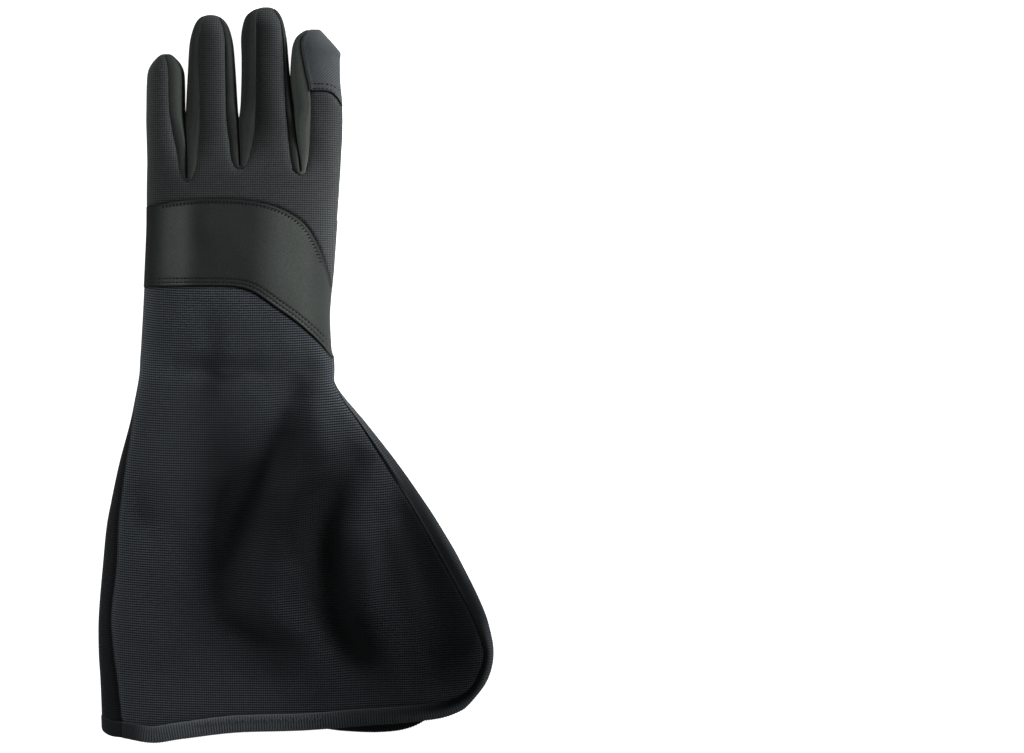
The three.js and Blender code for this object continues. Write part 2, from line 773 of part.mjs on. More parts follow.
// Side strip that lines the gap between two fingers
function fourchette(crotch) {
  const skin = new Skin();
  const rows = [];
  const gapMiddle = (y) => lerp(
    crotch.x,
    (lane(crotch.left, y).right + lane(crotch.right, y).left) / 2,
    smooth((y - crotch.y) / GAP_BLEND),
  );
  const clear = ([x, y, z], side) => [side === 'left'
    ? Math.min(x, gapMiddle(y) - GAP / 2)
    : Math.max(x, gapMiddle(y) + GAP / 2), y, z];
  const wallOf = (name, side, f) => {
    const top = FINGERS[name].outline[0].y - STRIP_END;
    const y = lerp(crotch.y, top, f);
    const outer = stripSection(name, side, y, 0);
    const inner = stripSection(name, side, y, SIDE_WALL);
    const own = side === 'right' ? 'left' : 'right';
    return outer.map((p, i) => [clear(p, own), inner[i]]);
  };
  STRIP_ROWS.forEach((f) => rows.push(wallOf(crotch.left, 'right', f)));
  const before = wallOf(crotch.left, 'right', 0);
  const after = wallOf(crotch.right, 'left', 0);
  for (const turn of [45, 90, 135]) {
    const angle = THREE.MathUtils.degToRad(turn);
    const share = turn / 180;
    rows.push(before.map((pair, i) => pair.map((p, side) => {
      const q = after[i][side];
      const radius = lerp(crotch.x - p[0], q[0] - crotch.x, share);
      return [
        crotch.x - radius * Math.cos(angle),
        crotch.y - Math.min(radius, CROTCH_RADIUS + side * SIDE_WALL) * Math.sin(angle),
        lerp(p[2], q[2], share),
      ];
    })));
  }
  STRIP_ROWS.slice().reverse().forEach((f) => rows.push(wallOf(crotch.right, 'left', f)));
  const grid = rows.map((row, j) => row.map(([outer, inner], i) => (
    skin.point(`${j} ${i}`, outer, inner))));
  skin.rows(grid);
  return skin.geometry();
}

const planX = (share, y) => lerp(body('left', y), body('right', y), (share + 1) / 2);

// Place along the hand of a seam that runs across it, at a share of the half width; aside moves
// it square to the seam, towards the fingers
function seamLine(points, share, aside) {
  let [{ y }] = points;
  for (let n = 0; n < 12; n += 1) y = lerp(y, curveY(points, planX(share, y)), 0.7);
  const x = planX(share, y);
  const slope = curveY(points, x + 0.5) - curveY(points, x - 0.5);
  return y + aside * Math.hypot(1, slope);
}

// Point of the back at a share of the half width, clear of the side seam at the edges
function backAt(share, y, inset) {
  const p = bodyTop(planX(share, y), y, inset);
  const seam = lerp(SEAM_Z, body('edge', y), (share + 1) / 2);
  if (Math.abs(share) > 0.9999) p[2] = Math.max(p[2], seam + GAP / 2);
  return p;
}

const cuffSeam = (y) => -Math.min(column(CUFF_SEAM, 'share', y), 1);

// Share of the half width along a cuff panel's column, closer together at the sides
const BAND_SHARES = combShares(combRoots(true, -GAP / 2));
const CUFF_CELLS = BAND_SHARES.length - 1;
const crowded = (u) => (1 - Math.cos(Math.PI * u)) / 2;
const cuffTopShare = (u) => lerp(cuffSeam(BAND_BOTTOM[0].y), 1, crowded(u));

// Band with its columns on those of the back panel above and of the cuff below
function knuckleBand() {
  const skin = new Skin();
  const grid = [];
  for (let j = 0; j <= BAND_ROWS; j += 1) {
    grid.push(BAND_SHARES.map((highShare, k) => {
      const lowShare = cuffTopShare(k / CUFF_CELLS);
      const high = seamLine(BAND_TOP, highShare, -GAP / 2);
      const low = seamLine(BAND_BOTTOM, lowShare, GAP / 2);
      const share = lerp(lowShare, highShare, j / BAND_ROWS);
      const y = lerp(low, high, j / BAND_ROWS);
      return skin.point(
        `${j} ${k}`,
        backAt(share, y, -BAND_PROUD),
        backAt(share, y, BAND_WALL - BAND_PROUD),
      );
    }));
  }
  skin.rows(grid);
  return skin.geometry();
}

// Smooth point of a free edge at a place counted in rows of its table
function edgePoint(rows, at) {
  const i = clamp(Math.floor(at), 0, rows.length - 2);
  const t = at - i;
  const value = (name) => {
    const p = (k) => rows[clamp(k, 0, rows.length - 1)][name];
    const [a, b, c, d] = [p(i - 1), p(i), p(i + 1), p(i + 2)];
    return 0.5 * (2 * b + (c - a) * t + (2 * a - 5 * b + 4 * c - d) * t * t
      + (3 * b - a - 3 * c + d) * t * t * t);
  };
  return { x: value('x'), y: value('y'), band: value('band') };
}

// Outer and inner line of the binding at a place on a free edge
function bindingLines(rows, at) {
  const here = edgePoint(rows, at);
  const a = edgePoint(rows, Math.max(at - 0.05, 0));
  const b = edgePoint(rows, Math.min(at + 0.05, rows.length - 1));
  const length = Math.hypot(b.x - a.x, b.y - a.y);
  const inward = [(b.y - a.y) / length, -(b.x - a.x) / length];
  return {
    outer: [here.x, here.y],
    inner: [here.x + inward[0] * here.band, here.y + inward[1] * here.band],
  };
}

// Plan position inside four boundary curves
function between(top, bottom, left, right, u, v) {
  return [0, 1].map((n) => {
    const sides = lerp(left(v)[n], right(v)[n], u);
    const ends = lerp(top(u)[n], bottom(u)[n], v);
    const low = lerp(top(0)[n], top(1)[n], u);
    const high = lerp(bottom(0)[n], bottom(1)[n], u);
    return sides + ends - lerp(low, high, v);
  });
}

// Places on the back cuff's free edge that its mesh and its binding share: one for each row from
// the top of the slit to the corner, and one for each column from there along the mouth
const BACK_LAST = BACK_EDGE.length - 1;
const backRowAt = (v) => BACK_CORNER * (v * CUFF_ROWS - SLIT_ROW) / (CUFF_ROWS - SLIT_ROW);
const backColumnAt = (u) => lerp(BACK_LAST, BACK_CORNER, crowded(u));

// Boundaries of the back cuff panel, as share of the half width and place along the glove
function cuffBackEdges() {
  const toShare = ([x, y]) => [shareAt(x, y), y];
  const mouthEnd = bindingLines(BACK_EDGE, BACK_LAST).inner[1];
  const bandEnd = (share) => seamLine(BAND_BOTTOM, share, -GAP / 2);
  const slitShare = SLIT_ROW / CUFF_ROWS;
  return {
    top: (u) => [cuffTopShare(u), bandEnd(cuffTopShare(u))],
    left: (v) => {
      const y = lerp(bandEnd(-1), mouthEnd, v);
      return [cuffSeam(y), y];
    },
    right: (v) => {
      if (v < slitShare) return [1, lerp(bandEnd(1), BACK_EDGE[0].y, v / slitShare)];
      return toShare(bindingLines(BACK_EDGE, backRowAt(v)).inner);
    },
    bottom: (u) => {
      const p = toShare(bindingLines(BACK_EDGE, backColumnAt(u)).inner);
      return u === 0 ? [cuffSeam(p[1]), p[1]] : p;
    },
  };
}

function cuffBack() {
  const skin = new Skin();
  const { top, bottom, left, right } = cuffBackEdges();
  const grid = [];
  for (let j = 0; j <= CUFF_ROWS; j += 1) {
    const row = [];
    for (let k = 0; k <= CUFF_CELLS; k += 1) {
      const [share, y] = between(top, bottom, left, right, k / CUFF_CELLS, j / CUFF_ROWS);
      row.push(skin.point(
        `${j} ${k}`,
        backAt(clamp(share, -1, 1), y, 0),
        backAt(clamp(share, -1, 1), y, CUFF_WALL),
      ));
    }
    grid.push(row);
  }
  skin.rows(grid);
  return skin.geometry();
}

// Section of a binding from its seam to the edge: how much it loses above and below there
const BINDING_SECTION = [
  { across: 0, above: 0, below: 0 },
  { across: 0.5, above: 0, below: 0 },
  { across: 0.86, above: 0.35, below: 0.2 },
  { across: 1, above: 1.0, below: 0.9 },
];

// Binding along a free edge. Each station is a function that gives a point at a share of the
// width and a depth under the upper side, or a height over the lower one.
function binding(stations, high, low) {
  const skin = new Skin();
  const grid = stations.map((place, j) => BINDING_SECTION.map(({ across, above, below }, i) => (
    skin.point(`${j} ${i}`, place(across, high(above)), place(across, low(below))))));
  skin.rows(grid);
  return skin.geometry();
}

// Plan position across a binding, clear of the panel that it is sewn to
function acrossBinding(rows, at, across) {
  const { inner, outer } = bindingLines(rows, at);
  const width = Math.hypot(outer[0] - inner[0], outer[1] - inner[1]);
  const share = lerp(Math.min(GAP / width, 0.6), 1, across);
  return [0, 1].map((n) => lerp(inner[n], outer[n], share));
}

function hemBack() {
  const places = [];
  for (let j = SLIT_ROW; j <= CUFF_ROWS; j += 1) places.push(backRowAt(j / CUFF_ROWS));
  for (let k = CUFF_CELLS - 1; k >= 0; k -= 1) places.push(backColumnAt(k / CUFF_CELLS));
  const stations = places.map((at) => (across, inset) => {
    const [x, y] = acrossBinding(BACK_EDGE, at, across);
    return backAt(at === BACK_LAST ? cuffSeam(y) : shareAt(x, y), y, inset);
  });
  return binding(
    stations,
    (slim) => slim - HEM_PROUD,
    (slim) => HEM_THICKNESS - HEM_PROUD - slim,
  );
}

// Lower surface of the cuff, rolled up to the seams at its sides
function cuffLow(x, y, inset) {
  const left = body('left', y);
  const right = body('right', y);
  const stillSewn = smooth((y + 12) / 14);
  const rollLeft = (1 - clamp((x - left) / ROLL_WIDTH, 0, 1)) ** 2;
  const rollRight = (1 - clamp((right - x) / ROLL_WIDTH, 0, 1)) ** 2 * stillSewn;
  const roll = Math.max(rollLeft, rollRight);
  const z = SEAM_Z * rollLeft + (SEAM_Z - GAP / 2) * rollRight;
  return [x + inset * rollLeft - inset * rollRight, y, z + inset * (1 - roll)];
}

// Columns of the palm cuff panel that wrap the little finger side, from the seam on the back
// down to the surface it lies on; each gives its point at a place along the glove
const WRAP_COLUMNS = [
  ...[1, 0.6, 0.25].map((height) => (y, inset) => {
    const round = body('roundL', y);
    const flank = (1 - (-cuffSeam(y)) ** round) ** (1 / round);
    const gap = 1.6 * GAP / (body('crown', y) - SEAM_Z);
    const h = Math.max(flank - gap, flank / 2) * height;
    return bodyTop(planX(-((1 - h ** round) ** (1 / round)), y), y, inset);
  }),
  ...[0, 0.2, 0.55, 1].map((across) => (y, inset) => (
    cuffLow(body('left', y) + ROLL_WIDTH * across, y, inset))),
];

// Mouth of the palm cuff panel on one of these columns
function mouthY(columnPoint) {
  let [{ y }] = PALM_MOUTH;
  for (let n = 0; n < 6; n += 1) y = curveY(PALM_MOUTH, columnPoint(y, 0)[0]);
  return y;
}

const PALM_LAST = PALM_EDGE.length - 1;
const palmRowAt = (v) => (
  PALM_CORNER * (v * PALM_CUFF_ROWS - PALM_SLIT_ROW) / (PALM_CUFF_ROWS - PALM_SLIT_ROW));
const palmColumnAt = (u) => (
  lerp(PALM_LAST, PALM_CORNER, (u * PALM_CUFF_CELLS - 1) / (PALM_CUFF_CELLS - 1)));

function cuffPalm() {
  const skin = new Skin();
  const startY = WRIST_SEAM_Y - GAP / 2;
  const lastWrap = WRAP_COLUMNS[WRAP_COLUMNS.length - 1];
  const slitShare = PALM_SLIT_ROW / PALM_CUFF_ROWS;
  const wrapY = (columnPoint, v) => lerp(startY, mouthY(columnPoint) + MOUTH_BAND, v);
  const left = (v) => {
    const y = wrapY(lastWrap, v);
    return [body('left', y) + ROLL_WIDTH, y];
  };
  const right = (v) => {
    if (v >= slitShare) return bindingLines(PALM_EDGE, palmRowAt(v)).inner;
    const { inner } = bindingLines(PALM_EDGE, 0);
    return [0, 1].map((n) => lerp([body('right', startY), startY][n], inner[n], v / slitShare));
  };
  const top = (u) => [lerp(left(0)[0], body('right', startY), u), startY];
  const bottom = (u) => (
    u === 0 ? left(1) : bindingLines(PALM_EDGE, palmColumnAt(u)).inner);
  const grid = [];
  for (let j = 0; j <= PALM_CUFF_ROWS; j += 1) {
    const v = j / PALM_CUFF_ROWS;
    const row = WRAP_COLUMNS.map((columnPoint, k) => {
      const y = wrapY(columnPoint, v);
      return skin.point(`wrap ${j} ${k}`, columnPoint(y, 0), columnPoint(y, CUFF_WALL));
    });
    for (let k = 1; k <= PALM_CUFF_CELLS; k += 1) {
      const [x, y] = between(top, bottom, left, right, k / PALM_CUFF_CELLS, v);
      row.push(skin.point(`floor ${j} ${k}`, cuffLow(x, y, 0), cuffLow(x, y, CUFF_WALL)));
    }
    grid.push(row);
  }
  skin.rows(grid);
  return skin.geometry();
}

function hemPalm() {
  const places = [];
  for (let j = PALM_SLIT_ROW; j <= PALM_CUFF_ROWS; j += 1) {
    places.push(palmRowAt(j / PALM_CUFF_ROWS));
  }
  for (let k = PALM_CUFF_CELLS - 1; k > 0; k -= 1) places.push(palmColumnAt(k / PALM_CUFF_CELLS));
  const flat = places.map((at) => (across, height) => (
    cuffLow(...acrossBinding(PALM_EDGE, at, across), height)));
  const wrapped = WRAP_COLUMNS.slice().reverse().map((columnPoint) => {
    const y = mouthY(columnPoint);
    return (across, height) => columnPoint(lerp(y + MOUTH_BAND - GAP, y, across), height);
  });
  return binding(
    [...flat, ...wrapped],
    (slim) => HEM_THICKNESS - slim,
    (slim) => slim,
  );
}

// Place on the thumb's axis as a plan position
function thumbPlace(along, across) {
  const angle = THREE.MathUtils.degToRad(THUMB_ANGLE);
  return [
    THUMB_MOUTH[0] + along * Math.cos(angle) + across * -Math.sin(angle),
    THUMB_MOUTH[1] + along * Math.sin(angle) + across * Math.cos(angle),
  ];
}

function thumb() {
  const skin = new Skin();
  const loop = THUMB_SIDES;
  const ring = (row, j) => {
    const ids = [];
    const low = thumbPlace(row.lowAlong, row.lowAcross);
    const high = thumbPlace(row.highAlong, row.highAcross);
    const mid = [(low[0] + high[0]) / 2, (low[1] + high[1]) / 2];
    const half = [(high[0] - low[0]) / 2, (high[1] - low[1]) / 2];
    const length = Math.hypot(...half);
    const closing = j === THUMB.length - 1;
    const back = 1 - row.height;
    const axis = thumbPlace(1, 0).map((v, n) => v - thumbPlace(0, 0)[n]);
    for (let k = 0; k < loop; k += 1) {
      const angle = (2 * Math.PI * k) / loop;
      const c = Math.cos(angle);
      const s = Math.sin(angle);
      const flat = Math.sign(s) * (1 - Math.abs(c) ** 3) ** (1 / 3);
      const at = (inset) => {
        const reach = Math.max(1 - inset / length, 0.3);
        const rise = Math.max(THUMB_HALF - inset, 0) * row.height;
        return [
          mid[0] + half[0] * c * reach - axis[0] * inset * back,
          mid[1] + half[1] * c * reach - axis[1] * inset * back,
          THUMB_MID + rise * (closing || Math.abs(c) > 0.999 ? 0 : flat),
        ];
      };
      const key = closing ? `${j} ${Math.min(k, loop - k)}` : `${j} ${k}`;
      ids.push(skin.point(key, at(0), at(PALM_WALL)));
    }
    return ids;
  };
  const rings = THUMB.map(ring);
  for (let j = 0; j + 1 < rings.length; j += 1) {
    for (let k = 0; k < loop; k += 1) {
      const next = (k + 1) % loop;
      skin.quad(rings[j][k], rings[j][next], rings[j + 1][next], rings[j + 1][k]);
    }
  }
  const lip = [];
  const rolled = [];
  const joined = [];
  for (let k = 0; k <= loop / 2; k += 1) {
    const y = lerp(THUMB_LIP.low, THUMB_LIP.high, (2 * k) / loop);
    const x = body('right', y);
    const z = SEAM_Z - GAP;
    const half = rings[0][(loop / 2 + k) % loop];
    const [, ringY, ringZ] = skin.outer[half];
    const rollX = x - ROLL_WIDTH * 0.35;
    const rollY = lerp(ringY, y, 0.7);
    const rollZ = lerp(ringZ, z, 0.25);
    const wall = PALM_WALL * Math.SQRT1_2;
    joined.push(half);
    rolled.push(skin.point(`rolled ${k}`, [rollX, rollY, rollZ], [rollX - wall, rollY, rollZ + wall]));
    lip.push(skin.point(`lip ${k}`, [x, y, z], [x - PALM_WALL, y, z]));
  }
  skin.rows([lip, rolled, joined]);
  return skin.geometry();
}

const group = new THREE.Group();

function add(name, geometry, color, roughness) {
  const material = new THREE.MeshStandardMaterial({ color, roughness, metalness: 0 });
  const mesh = new THREE.Mesh(geometry, material);
  mesh.name = name;
  group.add(mesh);
}

// A panel without what its grown neighbours take up
function trimmed(geometry, ...neighbours) {
  let solid = toSolid(geometry);
  for (const neighbour of neighbours) solid = solid.subtract(toSolid(neighbour));
  return toGeometry(solid);
}

const KNIT = 0x24262a;
const SMOOTH_CLOTH = 0x2b2d2a;
const TWILL = 0x4a4e50;

add('back_panel', backPanel(0), KNIT, 0.9);
add('palm', trimmed(palmPanel(0), backPanel(GAP), knuckleBand()), SMOOTH_CLOTH, 0.85);
add('index_cap', indexCap(0), TWILL, 0.8);
for (const crotch of CROTCHES) {
  const strip = trimmed(fourchette(crotch), backPanel(GAP), palmPanel(GAP), indexCap(GAP));
  add(crotch.name, strip, SMOOTH_CLOTH, 0.85);
}
add('knuckle_band', knuckleBand(), SMOOTH_CLOTH, 0.85);
add('cuff_back', cuffBack(), KNIT, 0.9);
add('cuff_palm', cuffPalm(), KNIT, 0.9);
add('hem_back', hemBack(), KNIT, 0.85);
add('hem_palm', hemPalm(), KNIT, 0.85);
add('thumb', thumb(), SMOOTH_CLOTH, 0.85);

export default group;
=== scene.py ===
import math

import bpy
import numpy as np
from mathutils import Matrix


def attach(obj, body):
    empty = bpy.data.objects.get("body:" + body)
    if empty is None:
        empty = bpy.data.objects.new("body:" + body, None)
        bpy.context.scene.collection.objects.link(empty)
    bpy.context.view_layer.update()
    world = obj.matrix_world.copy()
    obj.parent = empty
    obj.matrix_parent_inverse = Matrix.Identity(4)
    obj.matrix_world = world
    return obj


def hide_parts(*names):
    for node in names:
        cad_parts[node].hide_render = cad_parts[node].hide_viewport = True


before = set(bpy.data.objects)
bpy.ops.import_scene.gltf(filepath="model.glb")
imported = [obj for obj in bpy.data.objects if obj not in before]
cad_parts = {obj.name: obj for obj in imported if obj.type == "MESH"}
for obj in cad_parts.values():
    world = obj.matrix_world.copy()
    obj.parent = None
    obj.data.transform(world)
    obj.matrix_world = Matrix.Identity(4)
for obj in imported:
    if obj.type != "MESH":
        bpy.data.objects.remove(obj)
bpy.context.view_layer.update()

# Table, lamps and camera
# The glove lies on a plain white table, palm down, and is seen from straight above. Soft lamps
# beside it and beyond both its ends leave the folds of the flared cuff in their own shade, which
# painted shade on the cloth deepens.


def set_sockets(node, values):
    """Gives each socket of a node its value, or links it to the output that feeds it."""
    for socket, value in values.items():
        if isinstance(value, bpy.types.NodeSocket):
            node.id_data.links.new(value, node.inputs[socket])
        else:
            node.inputs[socket].default_value = value


bpy.ops.object.select_all(action="DESELECT")
bpy.ops.object.camera_add(location=(0.1299, -0.0009, 1.2), rotation=(0, 0, 0))
camera = bpy.context.object
camera.data.lens = 70
camera.data.sensor_width = 36
bpy.context.scene.camera = camera

bpy.ops.mesh.primitive_plane_add(size=60)
table = bpy.context.object
table.name = "table"
table.data.transform(table.matrix_world)
white_top = bpy.data.materials.new("white_table")
white_top.use_nodes = True
set_sockets(white_top.node_tree.nodes["Principled BSDF"], {
    "Base Color": (0.4, 0.4, 0.4, 1), "Roughness": 0.9, "Specular IOR Level": 0.1,
    "Emission Color": (1, 1, 1, 1), "Emission Strength": 1.0,
})
white_top.cycles.emission_sampling = "NONE"
table.data.materials.append(white_top)

LAMPS = [
    # name, place, aimed at, size, power, spread of its beam
    ("lamp_little_finger_side", (-0.95, 0.12, 0.3), (-0.04, 0.0, 0), 0.4, 11, 180),
    ("lamp_thumb_side", (0.66, 0.3, 0.2), (0, 0.12, 0), 0.3, 3.5, 60),
    ("lamp_fingers", (-0.1, 1.1, 0.5), (0, 0, 0), 0.5, 6, 180),
    ("lamp_cuff", (-0.25, -1.05, 0.5), (-0.03, -0.15, 0), 0.5, 3.5, 180),
]
for name, place, target, size, power, spread in LAMPS:
    bpy.ops.object.light_add(type="AREA", location=place)
    lamp = bpy.context.object
    lamp.name = name
    lamp.data.size = size
    lamp.data.energy = power
    lamp.data.spread = math.radians(spread)
    away = lamp.location.copy()
    away.xyz = [p - t for p, t in zip(place, target)]
    lamp.rotation_euler = away.to_track_quat("Z", "Y").to_euler()

studio = bpy.data.worlds.new("studio")
studio.use_nodes = True
set_sockets(studio.node_tree.nodes["Background"], {"Color": (1, 1, 1, 1), "Strength": 0.03})
bpy.context.scene.world = studio
bpy.context.scene.view_settings.view_transform = "Standard"

# Back of the hand
# One comb-shaped panel of black knit, with fine ribs across the hand: the back of the hand and
# four finger strips. Its edges are turned under where it is sewn to the pieces around it.
SEAM_HEIGHT = 5.5
BODY = np.array([
    # place along the glove, both edges, crown, height of the thumb edge, roundness of the flanks
    [128, -88.8, 27.3, 17.5, 5.5, 2.4, 2.4],
    [112, -89.1, 26.3, 19.0, 5.5, 2.5, 2.5],
    [88, -89.1, 24.6, 21.5, 5.5, 2.6, 2.6],
    [60, -90.2, 22.7, 24.0, 5.5, 2.6, 2.8],
    [38, -91.2, 20.7, 24.5, 5.5, 2.6, 3.0],
    [18, -92.4, 21.3, 23.0, 5.5, 2.6, 3.2],
    [13.5, -92.7, 22.0, 22.5, 5.5, 2.6, 3.2],
    [10, -93.0, 23.2, 22.0, 5.5, 2.6, 3.3],
    [2, -93.4, 23.5, 21.0, 5.5, 2.6, 3.4],
    [-4, -94.2, 23.6, 20.7, 5.6, 2.6, 3.5],
    [-11, -95.5, 27.6, 20.5, 5.9, 2.6, 3.5],
    [-28, -98.9, 42.0, 21.5, 7.0, 2.6, 3.4],
    [-53, -105.5, 61.5, 23.5, 7.0, 2.5, 2.0],
    [-76, -110.4, 77.6, 25.5, 7.0, 2.4, 1.75],
    [-90, -113.0, 86.7, 26.2, 7.0, 2.4, 1.6],
    [-110, -115.0, 98.3, 27.0, 7.0, 2.4, 1.5],
    [-144, -117.8, 114.4, 27.0, 7.0, 2.4, 1.9],
    [-165, -117.9, 118.9, 26.0, 7.0, 2.4, 2.3],
    [-182, -116.9, 115.6, 25.0, 7.0, 2.4, 2.2],
    [-196, -116.3, 105.6, 24.0, 7.0, 2.4, 2.0],
    [-208, -116.0, 93.0, 23.0, 7.0, 2.4, 2.0],
    [-222, -116.0, 84.0, 22.0, 7.0, 2.4, 2.0],
])
LEFT, RIGHT, CROWN, THUMB_EDGE, ROUND_LEFT, ROUND_RIGHT = range(1, 7)
FOLDS = [
    # how high, how wide, and the route over the cuff and wrist
    (-5.5, 10, [[6, 2], [-6, -30], [-18, -56], [-34, -90], [-45, -125]]),
    (-3.0, 8, [[-47, -118], [-37, -146], [-1, -162], [14, -190]]),
    (-7.0, 11, [[43, -40], [27, -70], [17, -97], [21, -135], [34, -162], [52, -180]]),
    (-4.0, 14, [[64, -72], [86, -145], [96, -187]]),
    (1.4, 6, [[52, -64], [70, -135], [78, -192]]),
    (-1.6, 6, [[-75, 4], [-15, 3]]),
    (-2.2, 9, [[-92, -64], [-84, -92]]),
    (3.2, 11, [[-1, -20], [-4, -70], [-10, -112], [-13, -136], [8, -170], [22, -194]]),
    (3.0, 8, [[44, -92], [43, -150]]),
    (2.4, 9, [[10, -12], [20, -52]]),
]
SHADED = [
    # painted shade where less light gets into the folds, or painted light where more: how much is
    # lost, how wide, and the route
    (0.55, 52, [[-5, -10], [-15, -60], [-13, -110], [6, -160], [42, -200]]),
    (0.5, 40, [[50, -35], [72, -75], [92, -130], [96, -215]]),
    (0.5, 13, [[6, 2], [-6, -30], [-20, -58], [-34, -84], [-44, -112], [-50, -128]]),
    (0.4, 12, [[-50, -124], [-38, -146], [-10, -166], [4, -184]]),
    (0.66, 14, [[38, -30], [28, -62], [19, -94], [21, -132], [36, -160], [54, -178]]),
    (0.42, 17, [[-52, -2], [-42, -28], [-44, -55], [-50, -85]]),
    (0.5, 17, [[10, -22], [6, -50], [5, -75], [2, -115]]),
    (0.3, 16, [[-30, -60], [-42, -100], [-44, -140]]),
    (0.42, 20, [[44, -88], [44, -130], [50, -175]]),
    (0.5, 10, [[54, -50], [66, -76], [84, -106], [98, -138], [104, -172]]),
    (0.12, 12, [[2, 8], [16, -8], [30, -32]]),
    (-0.28, 13, [[-92, 10], [-70, 4]]),
    (-0.23, 11, [[-9, -34], [-9, -72]]),
    (-0.21, 14, [[92, -130], [97, -182]]),
    (-0.03, 10, [[-32, -70], [-35, -92]]),
    (0.45, 26, [[92, -100], [100, -140], [98, -190]]),
    (0.2, 24, [[20, -160], [45, -185], [80, -200]]),
    (-0.3, 22, [[-95, -200], [-60, -190], [-36, -190], [0, -196], [20, -200]]),
    (0.5, 14, [[60, -84], [72, -115], [84, -150], [88, -190]]),
    (0.35, 8, [[-92, -72], [-84, -92]]),
    (0.35, 7, [[-44, 52], [-43, 30], [-46, 5], [-52, -20]]),
    (0.4, 3, [[-50, 2], [-40, -1], [-28, 1]]),
]
FINGERS = {
    # place along the glove and both edges, from the tip to the root
    "little": [[192.5, -78.9, -76.1], [191.7, -81.2, -73.8], [190, -83.2, -71.8],
        [187, -85.8, -69.2], [182, -88.4, -67], [174, -89.2, -66.4], [160, -89.4, -66.2],
        [151, -89.5, -65.8], [135, -89.1, -64.2], [118, -89.03, -63.3]],
    "ring": [[216, -51.6, -50.2], [215.4, -54.6, -47], [213.9, -57.2, -44],
        [210.6, -59.7, -41.1], [205, -61.8, -38.9], [198, -63.3, -37.4], [180, -64.4, -35.9],
        [159, -65.5, -34.6], [151, -65.8, -33.6], [138, -64.4, -32.9], [120, -63.3, -31.7]],
    "middle": [[220.6, -18.4, -16.6], [220, -21.6, -13.6], [218.4, -25.2, -10.9],
        [215, -29.3, -8.5], [210, -31.3, -6.8], [202, -32.5, -5.4], [189, -32.2, -4.2],
        [176, -32.3, -3], [159, -32.9, -1], [151, -33.5, 0.2], [138, -32.8, 1.8], [120, -31.6, 4]],
    "index": [[207, 7.4, 13.6], [205.6, 4.4, 15.8], [203, 1.2, 18.3], [199, -1, 22],
        [195.5, -1.9, 25.1], [193, -2.2, 26.8], [189, -2.6, 26.5], [176, -3, 26.7],
        [159, -1, 28.1], [140, 1.6, 27.9], [120, 4, 26.85]],
}
SEAMS = {
    # the two seams of each finger's back strip; a finger with no side strip has one on its edge
    ("little", "right"): [[191.5, -77.5], [188, -76.2], [182, -74.9], [160, -74.4], [145, -72.4],
        [134.9, -70.3], [123.4, -68.2], [117.4, -66]],
    ("ring", "left"): [[213, -54.5], [199, -56.6], [170, -56.3], [145, -56.2], [134.8, -57],
        [126.2, -57.6], [120.5, -58.7], [117.4, -60]],
    ("ring", "right"): [[213, -45], [207, -42.6], [199, -41.5], [180, -41.1], [153.7, -40.5],
        [147.6, -39.9], [137.3, -38.5], [128.7, -37.1], [124.9, -35.6]],
    ("middle", "left"): [[218, -22.5], [180, -22.6], [153.7, -23], [146.5, -23.4], [137.3, -24.8],
        [130.4, -26.3], [127, -27.2], [124.9, -28]],
    ("middle", "right"): [[218, -12.6], [211.5, -8.8], [196, -7], [157.8, -5.2], [147.6, -4.1],
        [137.3, -3.1], [128.7, -1.9], [123.6, -0.6], [121.4, 0.5]],
    ("index", "left"): [[206, 8.4], [203.5, 6], [200.7, 4.6], [196.7, 4.2], [183.7, 6.4],
        [169.3, 9.4], [162, 9.9], [153.9, 9.9], [138.9, 9.4], [129, 8.6],
        [121.4, 7.2]],
}
CROTCHES = [
    # strip, the fingers on its left and right, and the bottom of the gap between them
    ("fourchette_little_ring", "little", "ring", -63.2, 117.4),
    ("fourchette_ring_middle", "ring", "middle", -31.7, 124.9),
    ("fourchette_middle_index", "middle", "index", 3.9, 121.4),
]
CROTCH_RADIUS = 2.6
FINGER_RISE = 9.0
TIP_LENGTH = 13
MERGE_BELOW, MERGE_LENGTH = 4, 27
SEAM_INSIDE = 0.92
KNIT_WALL = 1.4
MERGE_WITHIN = 0.00002
SHADE_DEPTH = 0.88
SEAM_SINK, SEAM_WIDTH = 0.45, 1.6
BAND_TOP = [[-89.1, 100.5], [-62, 103.8], [-44, 104.5], [-28, 103.6], [-14, 101], [-1, 95.4],
            [8, 88], [15.5, 75], [20.5, 61], [22.6, 51]]
CAP_EDGE = [[4, 168.9], [12, 169.1], [21.1, 168.5], [25.2, 165.1], [27.6, 161.2]]


def mix(a, b, t):
    return a + (b - a) * t


def ease(t):
    k = np.clip(t, 0, 1)
    return k * k * (3 - 2 * k)


def ramp(at, start, length):
    """Rises smoothly from 0 at start to 1 a length further on."""
    return ease((at - start) / length)


def bell(distance, width):
    return np.exp(-((distance / width) ** 2))


def as_points(*coordinates):
    return np.stack(np.broadcast_arrays(*coordinates), -1)


def bend(a, b, c, d, t):
    """Between b and c on a smooth line through four points."""
    return 0.5 * (2 * b + (c - a) * t + (2 * a - 5 * b + 4 * c - d) * t**2
                  + (3 * b - a - 3 * c + d) * t**3)


